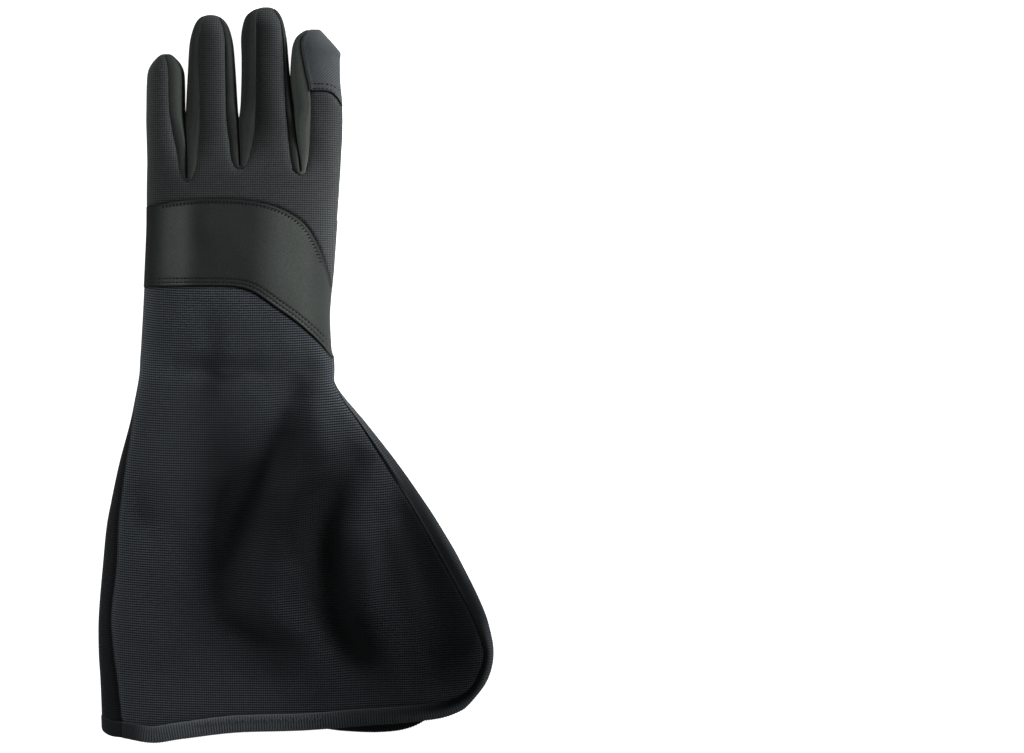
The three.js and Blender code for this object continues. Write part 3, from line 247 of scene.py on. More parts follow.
def follow(table, at, field=1):
    """Smooth value of one column of a table at places along its first column."""
    rows = np.asarray(table, float)
    p, q = rows[:, 0], rows[:, field]
    if p[0] > p[-1]:
        p, q = p[::-1], q[::-1]
    slope = np.empty_like(q)
    slope[1:-1] = (q[2:] - q[:-2]) / (p[2:] - p[:-2])
    slope[0] = (q[1] - q[0]) / (p[1] - p[0])
    slope[-1] = (q[-1] - q[-2]) / (p[-1] - p[-2])
    x = np.clip(at, p[0], p[-1])
    i = np.clip(np.searchsorted(p, x, side="right") - 1, 0, len(p) - 2)
    span = p[i + 1] - p[i]
    t = (x - p[i]) / span
    return ((2 * t**3 - 3 * t**2 + 1) * q[i] + (t**3 - 2 * t**2 + t) * span * slope[i]
            + (3 * t**2 - 2 * t**3) * q[i + 1] + (t**3 - t**2) * span * slope[i + 1])


def body(field, y):
    return follow(BODY, y, field)


def plan_x(share, y):
    return mix(body(LEFT, y), body(RIGHT, y), (share + 1) / 2)


def share_at(x, y):
    left, right = body(LEFT, y), body(RIGHT, y)
    return np.clip((2 * x - left - right) / (right - left), -1, 1)


def smooth_route(route):
    """A route through the same points without corners."""
    points = np.array(route, float)
    points = np.vstack([2 * points[0] - points[1], points, 2 * points[-1] - points[-2]])
    t = np.linspace(0, 1, 9)[:-1, None]
    pieces = [bend(*four, t) for four in zip(points, points[1:], points[2:], points[3:])]
    return np.vstack([*pieces, points[-2:-1]])


def from_route(route, x, y):
    """Distance from a route, and how far along it the nearest point is, as a share."""
    best = np.full(np.shape(x), 1e9)
    walked = np.zeros(np.shape(x))
    total = 0.0
    for (ax, ay), (bx, by) in zip(route, route[1:]):
        length = max(math.hypot(bx - ax, by - ay), 1e-9)
        t = np.clip(((x - ax) * (bx - ax) + (y - ay) * (by - ay)) / length**2, 0, 1)
        away = np.hypot(x - mix(ax, bx, t), y - mix(ay, by, t))
        walked = np.where(away < best, total + t * length, walked)
        best = np.minimum(best, away)
        total += length
    return best, walked / total


def away_from(routes, x, y):
    """Distance from the nearest of some routes."""
    return np.min([from_route(route, x, y)[0] for route in routes], axis=0)


def fold_height(x, y, table=FOLDS):
    """Height that all folds of a table add together; each fades out at its ends."""
    total = np.zeros(np.shape(x))
    for rise, width, route in table:
        away, along = from_route(smooth_route(route), x, y)
        fade = np.sqrt(np.sin(math.pi * np.clip(along, 0.02, 0.98)))
        total += rise * fade * bell(away, width)
    return total


RIPPLE_COUNT, RIPPLE_RISE = 14, 0.0016
chance = np.random.default_rng(11)
RIPPLES = [(chance.uniform(14, 46), chance.uniform(0, math.pi), chance.uniform(0, 2 * math.pi))
           for _ in range(RIPPLE_COUNT)]


def ripple(x, y):
    """Slight unevenness of cloth that was folded and worn, a few tenths of a millimetre."""
    total = np.zeros(np.shape(x))
    for length, turn, start in RIPPLES:
        way = x * math.cos(turn) + y * math.sin(turn)
        total += RIPPLE_RISE * length * np.sin(2 * math.pi * way / length + start)
    return total


def back_place(share, y, proud=0.0, wide=None):
    """Point of the upper surface at a share of the half width, from -1 to 1. proud is how far it
    lies over that surface, and wide how far outside it at the sides, where that differs."""
    wide = proud if wide is None else wide
    round_ = np.where(share < 0, body(ROUND_LEFT, y), body(ROUND_RIGHT, y))
    flank = np.maximum(1 - np.abs(share) ** round_, 0) ** (1 / round_)
    seam = mix(SEAM_HEIGHT, body(THUMB_EDGE, y), (share + 1) / 2)
    x = plan_x(share, y)
    calm = 1 - np.abs(share) ** 10
    z = seam + (body(CROWN, y) + proud - seam) * flank
    z = z + (fold_height(x, y) + ripple(x, y)) * calm
    return as_points(x + wide * share, y, z)


def tip_of(finger):
    return FINGERS[finger][0][0]


def lane(finger, y):
    """Middle and half width of a finger. Its table is followed by the root of the distance from
    the tip, which is how a round tip widens."""
    rows = np.array(FINGERS[finger], float)
    tip = rows[0, 0]
    rows[:, 0] = np.sqrt(tip - rows[:, 0])
    at = np.sqrt(np.maximum(tip - y, 0))
    left, right = follow(rows, at, 1), follow(rows, at, 2)
    return (left + right) / 2, (right - left) / 2


def finger_share(finger, y):
    """0 where the surface is the hand's, 1 where it is the finger's own."""
    around = [c[4] for c in CROTCHES if finger in c[1:3]]
    return ease((y - np.mean(around) + MERGE_BELOW) / MERGE_LENGTH)


def tip_round(finger, y):
    """Height left at a round fingertip, as a share, and how far round its end a place is."""
    k = np.clip((tip_of(finger) - y) / TIP_LENGTH, 0, 1)
    return np.sqrt(1 - (1 - k) ** 2), 1 - k


def finger_top(finger, x, y, proud=0.0):
    """Point of the upper surface between a fingertip and the hand."""
    middle, half = lane(finger, y)
    xi = np.clip((x - middle) / half, -1, 1)
    rise, back = tip_round(finger, y)
    fz = SEAM_HEIGHT + (FINGER_RISE + proud) * rise * np.sqrt(1 - xi**2) + ripple(x, y) * rise
    share = finger_share(finger, y)
    under = back_place(share_at(x, y), y, proud)
    return as_points(
        mix(under[..., 0], middle + xi * (half + proud), share),
        y + proud * back,
        mix(under[..., 2], fz, share),
    )


def seam_x(finger, side, y, upper=True):
    """Where the seam of a finger's back strip lies, or that of its front in the palm."""
    middle, half = lane(finger, y)
    sign = -1 if side == "left" else 1
    if (finger, side) not in SEAMS:
        return middle + sign * half
    if upper:
        inside = SEAM_INSIDE * half
        return np.clip(follow(SEAMS[finger, side], y), middle - inside, middle + inside)
    crotch = next(c for c in CROTCHES if c[2 if side == "left" else 1] == finger)
    return middle + sign * half * mix(0.94, 0.78, ramp(y, crotch[4], 30))


def lane_columns(finger, y, across, upper=True):
    """Places of the columns between the two seams of a finger's strip."""
    middle, half = lane(finger, y)
    start, stop = (np.arccos(np.clip((seam_x(finger, side, y, upper) - middle) / half, -1, 1))
                   for side in ("left", "right"))
    return middle + half * np.cos(mix(start, stop, across))


def root_line(x):
    """Line across the hand through the bottoms of the gaps between the fingers."""
    points = [[-95, 117.9], *[[c[3], c[4]] for c in CROTCHES], [35, 119.9]]
    return follow(points, x)


def seam_line(points, share):
    """Place along the glove of a seam across it."""
    y = np.full(np.shape(share), float(points[0][1]))
    for _ in range(12):
        y = mix(y, follow(points, plan_x(share, y)), 0.7)
    return y


def cloth_grid(places, weave, shade=None, turned=False):
    """A grid whose points are moved to their places, in millimetres, with the cloth's own lengths
    as its UV map. Rows run towards the fingertips and columns towards the thumb side, or away
    from it where the cloth is turned to face the table."""
    shade = np.zeros(places.shape[:2]) if shade is None else shade
    if turned:
        places, weave, shade = places[:, ::-1], weave[:, ::-1], shade[:, ::-1]
    rows, columns = places.shape[:2]
    bpy.ops.object.select_all(action="DESELECT")
    bpy.ops.mesh.primitive_grid_add(x_subdivisions=columns - 1, y_subdivisions=rows - 1, size=1)
    made = bpy.context.object
    mesh = made.data
    mesh.vertices.foreach_set("co", (places.reshape(-1, 3) / 1000).astype(np.float32).ravel())
    corner = np.empty(len(mesh.loops), np.int32)
    mesh.loops.foreach_get("vertex_index", corner)
    mesh.uv_layers[0].name = "weave"
    lengths = weave.reshape(-1, 2)[corner]
    mesh.uv_layers[0].data.foreach_set("uv", lengths.astype(np.float32).ravel())
    mesh.attributes.new("painted_shade_and_light", "FLOAT", "POINT")
    mesh.attributes["painted_shade_and_light"].data.foreach_set("value", shade.astype(np.float32).ravel())
    mesh.update()
    return made


def made_one(parts, name, material):
    """One object of the glove from its parts."""
    bpy.ops.object.select_all(action="DESELECT")
    for part in parts:
        part.select_set(True)
    piece = parts[0]
    bpy.context.view_layer.objects.active = piece
    if len(parts) > 1:
        bpy.ops.object.join()
    piece.name = piece.data.name = name
    piece.data.materials.clear()
    piece.data.materials.append(material)
    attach(piece, "root")
    return piece


def cut_out(grids, name, wall, material):
    """One piece of cloth from its grids, with its wall on the inside where it has one."""
    piece = made_one(grids, name, material)
    bpy.ops.object.mode_set(mode="EDIT")
    bpy.ops.mesh.select_all(action="SELECT")
    bpy.ops.mesh.remove_doubles(threshold=MERGE_WITHIN)
    bpy.ops.object.mode_set(mode="OBJECT")
    if wall:
        thick = piece.modifiers.new("wall", "SOLIDIFY")
        thick.thickness = wall / 1000
        thick.offset = -1
        bpy.ops.object.modifier_apply(modifier=thick.name)
    bpy.ops.object.shade_smooth()
    return piece


def add_node(tree, kind, values, **settings):
    """The outputs of a new node in a material."""
    made = tree.nodes.new(kind)
    for setting, value in settings.items():
        setattr(made, setting, value)
    set_sockets(made, values)
    return made.outputs


def calc(tree, how, *values):
    return add_node(tree, "ShaderNodeMath", dict(enumerate(values)), operation=how)[0]


def speckle(tree, scale, detail=3.0):
    """Noise on the object's own coordinates, from 0 to 1."""
    place = add_node(tree, "ShaderNodeTexCoord", {})["Object"]
    noise = {"Vector": place, "Scale": scale, "Detail": detail}
    return add_node(tree, "ShaderNodeTexNoise", noise)["Fac"]


def yarn_row(tree, length, pitch, sharp):
    """Rounded threads side by side: 1 on top of each, 0 between them."""
    wave = calc(tree, "SINE", calc(tree, "MULTIPLY", length, math.pi / pitch))
    return calc(tree, "POWER", calc(tree, "ABSOLUTE", wave), sharp)


def cloth_lengths(tree):
    """The cloth's lengths across and along itself, in millimetres."""
    weave = add_node(tree, "ShaderNodeUVMap", {}, uv_map="weave")["UV"]
    split = add_node(tree, "ShaderNodeSeparateXYZ", {"Vector": weave})
    return split[0], split[1]


def cloth_material(name, pattern, dark, light, depth, gloss=0.05, rough=0.7, patchy=0.25):
    """Cloth with a slight gloss. pattern gives the height of its threads, dark and light their
    colours in the furrows and on top, which are painted shade and painted highlights, and depth is
    the height of a thread in millimetres. The shade attribute on the cloth's points darkens the
    colour with painted shade, or lightens it with painted light where it is negative."""
    material = bpy.data.materials.new(name)
    material.use_nodes = True
    tree = material.node_tree
    height = pattern(tree)
    seam = add_node(tree, "ShaderNodeAttribute", {}, attribute_name="painted_shade_and_light")["Fac"]
    threads = {"A": (*dark, 1), "B": (*light, 1), "Factor": height}
    tone = add_node(tree, "ShaderNodeMix", threads, data_type="RGBA")["Result"]
    patches = calc(tree, "MULTIPLY_ADD", speckle(tree, 14), patchy, 1 - patchy / 2)
    fibres = calc(tree, "MULTIPLY_ADD", speckle(tree, 900, 1.0), 0.5, 0.75)
    # painted shade from the points' attribute darkens the colour; negative values paint it lighter
    lit = calc(tree, "MULTIPLY_ADD", seam, -SHADE_DEPTH, 1.0)
    shaded = calc(tree, "MULTIPLY", calc(tree, "MULTIPLY", patches, fibres), lit)
    colour_with_painted_shade = add_node(tree, "ShaderNodeVectorMath", {0: tone, "Scale": shaded}, operation="SCALE")[0]
    fuzz = calc(tree, "MULTIPLY_ADD", speckle(tree, 1400, 2.0), 0.3, height)
    bump = add_node(tree, "ShaderNodeBump", {"Distance": depth / 1000, "Height": fuzz})["Normal"]
    set_sockets(tree.nodes["Principled BSDF"], {
        "Base Color": colour_with_painted_shade, "Normal": bump, "Roughness": rough, "Specular IOR Level": gloss,
        "Sheen Weight": 0.01, "Sheen Roughness": 0.5,
    })
    return material


def rib_knit(rib, wale, wale_share, sharp):
    """Ribs across the cloth at one pitch, cut by fainter columns of stitches at another."""
    def pattern(tree):
        across, along = cloth_lengths(tree)
        ribs = yarn_row(tree, along, rib, sharp)
        wales = yarn_row(tree, across, wale, sharp)
        low = calc(tree, "MULTIPLY_ADD", wales, wale_share, 1 - wale_share)
        return calc(tree, "MULTIPLY", ribs, low)
    return pattern


hand_knit = cloth_material("hand_knit", rib_knit(1.33, 1.33, 0.7, 1.2),
                           (0.0048, 0.0052, 0.0053), (0.0292, 0.033, 0.0336), 0.14)

LANE_COLUMNS, LANE_ROWS, HAND_ROWS = 27, 76, 46
# TIP_SHADE and HAND_DIM are painted shade on the knit of the fingers: darker near the tips of the
# two middle fingers, and on each finger more on one side.
TIP_SHADE = 0.12
HAND_DIM = {"little": 0.14, "ring": 0.42, "middle": 0.64, "index": 0.3}
ARC = np.linspace(0, math.pi, 9)[1:-1]
across = np.linspace(0, 1, LANE_COLUMNS)


def to_tip(count):
    """Shares from 0 to 1 that lie closer together towards a fingertip."""
    return np.sin(np.linspace(0, 1, count) * math.pi / 2)


def to_edges(count):
    """Shares from 0 to 1 that lie closer together towards both ends."""
    return (1 - np.cos(np.linspace(0, math.pi, count))) / 2


def cap_line(columns):
    """Place of the fingertip patch's lower edge on each column of the index finger."""
    y = np.full(len(columns), CAP_EDGE[1][1])
    for _ in range(8):
        y = follow(CAP_EDGE, lane_columns("index", y, columns))
    return y


def strip_seams(finger):
    """The seams of one finger's back strip seen from above."""
    routes = []
    for _, left, right, _, root in CROTCHES:
        if finger in (left, right):
            y = np.linspace(root, tip_of(finger), 60)
            side = "right" if finger == left else "left"
            routes.append(as_points(seam_x(finger, side, y), y))
    return routes


def arc_of(crotch):
    """The rounded bottom of the gap between two fingers."""
    _, left, right, cx, cy = crotch
    low, high = seam_x(left, "right", np.array(cy)), seam_x(right, "left", np.array(cy))
    half = (high - low) / 2
    return (low + high) / 2 - half * np.cos(ARC), cy - CROTCH_RADIUS * np.sin(ARC)


def lane_grid(finger, upper=True):
    """Grid of one finger's strip from the root line up to its tip or its patch."""
    crotch_y = next(c[4] for c in CROTCHES if finger in c[1:3])
    root_x = lane_columns(finger, np.array(crotch_y), across, upper)
    root_y = root_line(root_x) - (0 if upper else CROTCH_RADIUS + 0.2)
    top = cap_line(across) if upper and finger == "index" else tip_of(finger)
    y = mix(root_y, top, to_tip(LANE_ROWS)[:, None])
    x = lane_columns(finger, y, across, upper)
    x[0] = root_x
    return x, y


def below_roots(grids, arcs, low_line, columns, power, count, surface):
    """The grid between the roots of the fingers and a line across the hand. Each of its columns
    lies on the surface of the finger above it."""
    line = []
    for finger, (x, y) in grids.items():
        line += [(px, py, finger) for px, py in zip(x[0], y[0])]
        for arc in arcs:
            if arc[1] == finger:
                owners = np.repeat(arc[1:3], [len(ARC) // 2, len(ARC) - len(ARC) // 2])
                line += zip(*arc_of(arc), owners)
    root_x, root_y = np.array([point[:2] for point in line]).T
    root_share = (2 * root_x - root_x[0] - root_x[-1]) / (root_x[-1] - root_x[0])
    spread = np.linspace(0, 1, count)[:, None]
    y = mix(low_line(root_share), root_y, spread)
    x = columns(mix(root_share, share_at(root_x, root_y), spread**power), y)
    places = np.empty((*x.shape, 3))
    for finger in grids:
        own = [i for i, point in enumerate(line) if point[2] == finger]
        places[:, own] = surface(finger, x[:, own], y[:, own])
    return x, y, places


finger_routes = [route for finger in FINGERS for route in strip_seams(finger)]
finger_routes += [np.stack(arc_of(c), -1) for c in CROTCHES]
cap_route = as_points(lane_columns("index", cap_line(across), across), cap_line(across))


def seam_route(points):
    """A seam across the whole hand as a route seen from above."""
    share = np.linspace(-1, 1, 160)
    y = seam_line(points, share)
    return as_points(plan_x(share, y), y)


band_top_route = seam_route(BAND_TOP)


def drawn_in(places, routes, depth, width):
    """Lowers cloth along its seams, and gives the painted shade there."""
    away = away_from(routes, places[..., 0], places[..., 1])
    high = ramp(places[..., 2], SEAM_HEIGHT, 3)
    lowered = places.copy()
    lowered[..., 2] -= depth * bell(away, width) * high
    return lowered, 0.8 * bell(away, 0.9) * mix(0.3, 1, high)


def tip_fade(finger, y):
    """Seams of the two middle fingers end in smooth round tips."""
    if finger in ("little", "index"):
        return np.ones(np.shape(y))
    return ease((tip_of(finger) - 3 - y) / 26)


def hand_dim(x):
    """Painted shade across the hand, from the little finger side to the thumb side."""
    return mix(0.22, 0.24, ramp(x, -85, 25)) - 0.12 * ramp(x, -20, 40)


def hand_strip(finger, x, y):
    fade = tip_fade(finger, y)
    places, shade = drawn_in(finger_top(finger, x, y), finger_routes, SEAM_SINK * fade, SEAM_WIDTH)
    places, cap_shade = drawn_in(places, [cap_route], 0.9, 1.2)
    # Painted shade: each finger darker on one side, darker towards the middle fingertips, and a
    # dark rim at each tip.
    lean = across if finger == "index" else 1 - across
    tip = tip_of(finger)
    dim = mix(hand_dim(x), HAND_DIM[finger] * (0.5 + lean), ease((y - root_line(x)) / 30))
    dim = mix(TIP_SHADE, dim, ease((tip - 3 - y) / 12) if finger in ("ring", "middle") else 1)
    dim = dim + 0.3 * np.exp((y - tip) / 1.5)
    shade = np.maximum(0.45 * shade * fade, cap_shade)
    return cloth_grid(places, as_points(x, y), np.maximum(shade, dim))


grids = {finger: lane_grid(finger) for finger in FINGERS}
parts = [hand_strip(finger, *grid) for finger, grid in grids.items()]
x, y, places = below_roots(grids, CROTCHES, lambda share: seam_line(BAND_TOP, share), plan_x, 6,
                           HAND_ROWS, finger_top)
places, shade = drawn_in(places, finger_routes, SEAM_SINK, SEAM_WIDTH)
places, band_shade = drawn_in(places, [band_top_route], 0.7, 1.2)
# Painted shade along the finger seams and the band's upper edge, and across the hand.
shade = np.maximum(np.maximum(0.45 * shade, 0.7 * band_shade), hand_dim(x))
parts.append(cloth_grid(places, as_points(x, y), shade))
back_panel = cut_out(parts, "hand_back", KNIT_WALL, hand_knit)
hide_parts("back_panel")

# Index fingertip
# A patch of dark grey twill covers the tip of the index finger. Its lower edge is turned under
# and held by a double row of dark stitches across the finger.
CAP_STITCHES = (1.5, 4.3)
CAP_PROUD = 0.3
CAP_COLUMNS, CAP_ROWS = 45, 84
STITCH_REACH = 0.35
FOLDED_WALL = 1.2


def diagonal_weave(tree):
    across_, along_ = cloth_lengths(tree)
    slant = calc(tree, "MULTIPLY", calc(tree, "SUBTRACT", across_, along_), 0.7071)
    other = calc(tree, "MULTIPLY", calc(tree, "ADD", across_, along_), 0.7071)
    lines = yarn_row(tree, slant, 1.2, 0.8)
    cuts = yarn_row(tree, other, 0.9, 0.5)
    return calc(tree, "MULTIPLY", lines, calc(tree, "MULTIPLY_ADD", cuts, 0.4, 0.6))


twill = cloth_material("grey_twill", diagonal_weave, (0.0055, 0.0064, 0.0066),
                       (0.03, 0.0341, 0.0359), 0.1)


def thread_material(name, colour):
    def strands(tree):
        return yarn_row(tree, cloth_lengths(tree)[0], 0.3, 1.0)
    return cloth_material(name, strands, colour, tuple(2.2 * c for c in colour), 0.05)


dark_thread = thread_material("dark_thread", (0.0015, 0.0015, 0.0015))


def evenly(route, pitch):
    """Points along a route at one pitch, and the direction of the route there."""
    steps = np.hypot(*np.diff(route, axis=0).T)
    walked = np.concatenate([[0], np.cumsum(steps)])
    at = np.arange(pitch / 2, walked[-1], pitch)
    points, ahead, behind = (as_points(*(np.interp(at + step, walked, line) for line in route.T))
                             for step in (0, 0.3, -0.3))
    return points, np.arctan2(*(ahead - behind).T[::-1])


def stitch_row(name, routes, height_at, pitch, length, thick, lift, material, turn=0.0):
    """Rows of stitches on cloth: one stitch is shaped once and copied along each route."""
    bpy.ops.object.select_all(action="DESELECT")
    bpy.ops.mesh.primitive_uv_sphere_add(segments=8, ring_count=5, radius=0.5)
    stitch = bpy.context.object
    bpy.ops.object.mode_set(mode="EDIT")
    bpy.ops.transform.resize(value=(length, thick, thick * 0.7))
    bpy.ops.object.mode_set(mode="OBJECT")
    shape = np.empty(len(stitch.data.vertices) * 3, np.float32)
    stitch.data.vertices.foreach_get("co", shape)
    shape = shape.reshape(-1, 3).astype(float)
    copies = []
    for route in routes:
        points, turns = evenly(route, pitch)
        heights = height_at(*points.T) + lift
        turns = turns + np.resize(turn, len(turns))
        way = STITCH_REACH * np.array([np.cos(turns), np.sin(turns)])
        rise = height_at(*(points.T + way)) - height_at(*(points.T - way))
        for (px, py), z, turned, tilt in zip(points, heights, turns, rise / (2 * STITCH_REACH)):
            c, s = math.cos(turned), math.sin(turned)
            placed = as_points(px + shape[:, 0] * c - shape[:, 1] * s,
                               py + shape[:, 0] * s + shape[:, 1] * c,
                               z + shape[:, 2] + shape[:, 0] * tilt)
            copy = stitch.copy()
            copy.data = stitch.data.copy()
            copy.data.vertices.foreach_set("co", (placed / 1000).astype(np.float32).ravel())
            bpy.context.collection.objects.link(copy)
            copies.append(copy)
    bpy.data.objects.remove(stitch)
    row = made_one(copies, name, material)
    row.data.uv_layers[0].name = "weave"
    bpy.ops.object.shade_smooth()
    return row


def cap_height(x, y):
    """The patch's surface: its turned edges sink in, and each row of stitches lies in a furrow."""
    places = finger_top("index", x, y, CAP_PROUD)
    edge, side = away_from([cap_route], x, y), away_from(strip_seams("index"), x, y)
    z = places[..., 2] - 0.9 * bell(edge, 0.5) - 0.8 * bell(side, 0.8)
    z = z + 0.5 * bell(edge - 0.9, 0.55) + 0.35 * bell(side - 1.3, 0.8)
    for row in CAP_STITCHES:
        z = z - 0.22 * bell(edge - row, 0.4)
    return z


across_cap = np.linspace(0, 1, CAP_COLUMNS)
y = mix(cap_line(across_cap), tip_of("index"), to_tip(CAP_ROWS)[:, None])
x = lane_columns("index", y, across_cap)
places = finger_top("index", x, y, CAP_PROUD)
places[..., 2] = cap_height(x, y)
# Painted shade along the patch's turned edge, and more painted shade towards the thumb side.
shade = bell(away_from([cap_route], x, y), 0.5) + 0.25 * ramp(x, 14, 12)
index_cap = cut_out([cloth_grid(places, as_points(x, y), shade)],
                    "index_fingertip", FOLDED_WALL, twill)
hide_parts("index_cap")


def beside(route, aside):
    """A route at a distance to the left of another one."""
    way = np.gradient(route, axis=0)
    way /= np.hypot(way[:, 0], way[:, 1])[:, None]
    return route + aside * as_points(-way[:, 1], way[:, 0])


cap_rows = [beside(cap_route, row)[2:-11] for row in CAP_STITCHES]
cap_thread = stitch_row("index_fingertip_stitches", cap_rows, cap_height, pitch=2.4, length=1.7,
                        thick=0.85, lift=0.2, material=dark_thread)

# Knuckle band
# A band of smooth brushed stretch cloth lies across the knuckles and runs down to the wrist on
# the thumb side. Both edges are turned under; cover stitches hold the upper one to the knit, two
# rows of stitches the lower one.
BAND_BOTTOM = [[-90.6, 52.4], [-53, 52.3], [-32, 51.6], [-22, 48.4], [-9.4, 39.7], [2, 31.4],
               [13, 21.4], [22.2, 10.5]]
BAND_STITCHES = (2.3, 4.7)
BAND_COLUMNS, BAND_ROWS = 191, 104
BAND_WALL = 1.3
band_bottom_route = seam_route(BAND_BOTTOM)


def fine_nap(tree):
    return calc(tree, "MULTIPLY_ADD", speckle(tree, 1900, 2.0), 0.7, 0.15)


brushed = cloth_material("brushed_cloth", fine_nap, (0.013, 0.015, 0.014), (0.033, 0.037, 0.0345),
                         0.06, gloss=0.03, rough=0.75, patchy=0.3)


def band_borders(x, y):
    """Distances from the band's lower and upper edge, and from its seam on the left."""
    return (away_from([band_bottom_route], x, y), away_from([band_top_route], x, y),
            np.abs(x - body(LEFT, y) - 2.0))


def band_proud(x, y):
    """How far the band stands over the hand, from its turned edges to its middle."""
    low, high, left = band_borders(x, y)
    rise = -0.5 + ease(low / 0.8) * ease(high / 1.2)
    rise = rise + 0.35 * bell(low - 1.2, 0.9)
    for row in BAND_STITCHES:
        rise = rise - 0.3 * bell(low - row, 0.5)
    rise = rise - 0.25 * bell(high - 2.0, 0.8)
    return rise - 0.5 * bell(left, 0.45)


def band_height(x, y):
    return back_place(share_at(x, y), y, band_proud(x, y))[..., 2]


columns = -np.cos(np.linspace(0, math.pi, BAND_COLUMNS))
rows = to_edges(BAND_ROWS)[:, None]
y = mix(seam_line(BAND_BOTTOM, columns), seam_line(BAND_TOP, columns), rows)
share = np.broadcast_to(columns, y.shape)
x = plan_x(share, y)
low, high, left = band_borders(x, y)
# Painted light and shade across the band: dark at the little finger side, lighter beside it, darker
# in the middle, lighter again, and darker at the thumb side's edge.
painted_band_light_and_shade = (0.88 * (1 - ramp(x, -86, 12)) - 0.34 * ramp(x, -80, 8) * (1 - ramp(x, -67, 8))
       + 0.66 * ramp(x, -66, 12) * (1 - ramp(x, -26, 20))
       + 0.59 * ramp(x, 6, 12) - 0.1 * ramp(x, -16, 10))
# Painted shade along the band's turned edges and its side seam.
shade = np.maximum(bell(low, 0.5), 0.8 * bell(left, 0.4))
shade = np.maximum(shade, 0.75 * np.exp(-((high / 1.2) ** 4)))
shade = painted_band_light_and_shade + shade * (1 - painted_band_light_and_shade)
places = back_place(share, y, band_proud(x, y), 0.2)
knuckle_band = cut_out([cloth_grid(places, as_points(x, y), shade)],
                       "knuckle_band_cloth", BAND_WALL, brushed)
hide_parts("knuckle_band")
inner_part = slice(14, -7)
lower_rows = [beside(band_bottom_route, row)[inner_part] for row in BAND_STITCHES]
lower_thread = stitch_row("knuckle_band_lower_stitches", lower_rows, band_height, pitch=2.3,
                          length=1.7, thick=0.8, lift=0.16, material=dark_thread)
upper_thread = stitch_row("knuckle_band_upper_stitches", [beside(band_top_route, -2.0)[inner_part]],
                          band_height, pitch=2.2, length=2.3, thick=0.85, lift=0.2,
                          material=dark_thread, turn=math.radians(75))

# Side strips of the fingers
# A strip of smooth stretch cloth, duller than the band, lines each gap between two fingers: down
# the side of one finger, round the rounded bottom of the gap and up the side of the next.
STRIP_END = 0.01
STRIP_FREE, STRIP_PRESSED = 2.6, 6.0
STRIP_CREST = 0.35
STRIP_SIDE = 0.35
STRIP_WALL = 0.9
STRIP_COLUMNS, STRIP_MIDDLE, STRIP_ROWS = 41, 20, 90
# Painted shade on the side strips of each finger; a negative value paints them lighter.
STRIP_DIM = {"little": 0.2, "ring": 0.41, "middle": 0.48, "index": -0.35}
THUMB_MOUTH = (11, 57)
THUMB_TURN = math.radians(150)
THUMB_REACH = 63.5
THUMB_HOLE = (20, 29, 85, 94)
HOLE_DEPTH = 11
THUMB_HALVES, THUMB_TAPER = (25, 14), 50
THUMB_TIP, TIP_NARROWER = 8, 6
THUMB_LIFT = 9.75
LIFT_CLEAR, LIFT_FALL = 1.5, 13
FINGER_UNDER = 0.25
ROLL = 7


def hole_share(y):
    """How far the opening for the thumb is open at a place along the glove, from 0 to 1."""
    low, low_full, high_full, high = THUMB_HOLE
    return ramp(y, low, low_full - low) * (1 - ramp(y, high_full, high - high_full))


def thumb_lift(x, y):
    """How far the palm is lifted where the thumb is folded under it."""
    dx, dy = x - THUMB_MOUTH[0], y - THUMB_MOUTH[1]
    along = dx * math.cos(THUMB_TURN) + dy * math.sin(THUMB_TURN)
    aside = -dx * math.sin(THUMB_TURN) + dy * math.cos(THUMB_TURN)
    half = mix(*THUMB_HALVES, np.clip(along / THUMB_TAPER, 0, 1))
    beyond = np.maximum(along - (THUMB_REACH - THUMB_TIP), 0)
    sideways = np.maximum(np.abs(aside) - (half - np.where(beyond > 0, TIP_NARROWER, 0)), 0)
    away = np.hypot(np.maximum(beyond - THUMB_TIP, 0), sideways)
    return THUMB_LIFT * (1 - ramp(away, LIFT_CLEAR, LIFT_FALL))


def rolls(x, y):
    """How far cloth is rolled up to the seams at its left and right side, from 0 to 1."""
    aside = np.array([x - body(LEFT, y), body(RIGHT, y) - x])
    return (1 - np.clip(aside / ROLL, 0, 1)) ** 2


def palm_place(x, y):
    """Point of the lower surface of the hand."""
    hole = hole_share(y)
    roll_left, roll_right = rolls(x, y)
    roll_right = roll_right * (1 - hole)
    lift = thumb_lift(x, y) * mix(ramp(body(RIGHT, y) - x, 1, ROLL), 1, hole)
    z = mix(lift, SEAM_HEIGHT, np.maximum(roll_left, roll_right))
    return as_points(x, y, z)


def finger_low(finger, x, y):
    """Point of the lower surface between a fingertip and the hand."""
    middle, half = lane(finger, y)
    xi = np.clip((x - middle) / half, -1, 1)
    rise, _ = tip_round(finger, y)
    fz = SEAM_HEIGHT - (SEAM_HEIGHT - FINGER_UNDER) * rise * (1 - xi**4) ** 0.25
    share = finger_share(finger, y)
    under = palm_place(plan_x(share_at(x, y), y), y)
    return as_points(mix(under[..., 0], middle + xi * half, share), y,
                     mix(under[..., 2], fz, share))


def strip_round(y, cy):
    """Roundness of a side strip, flatter where two fingers are pressed together."""
    return mix(STRIP_PRESSED, STRIP_FREE, ease((y - cy - 20) / 20))


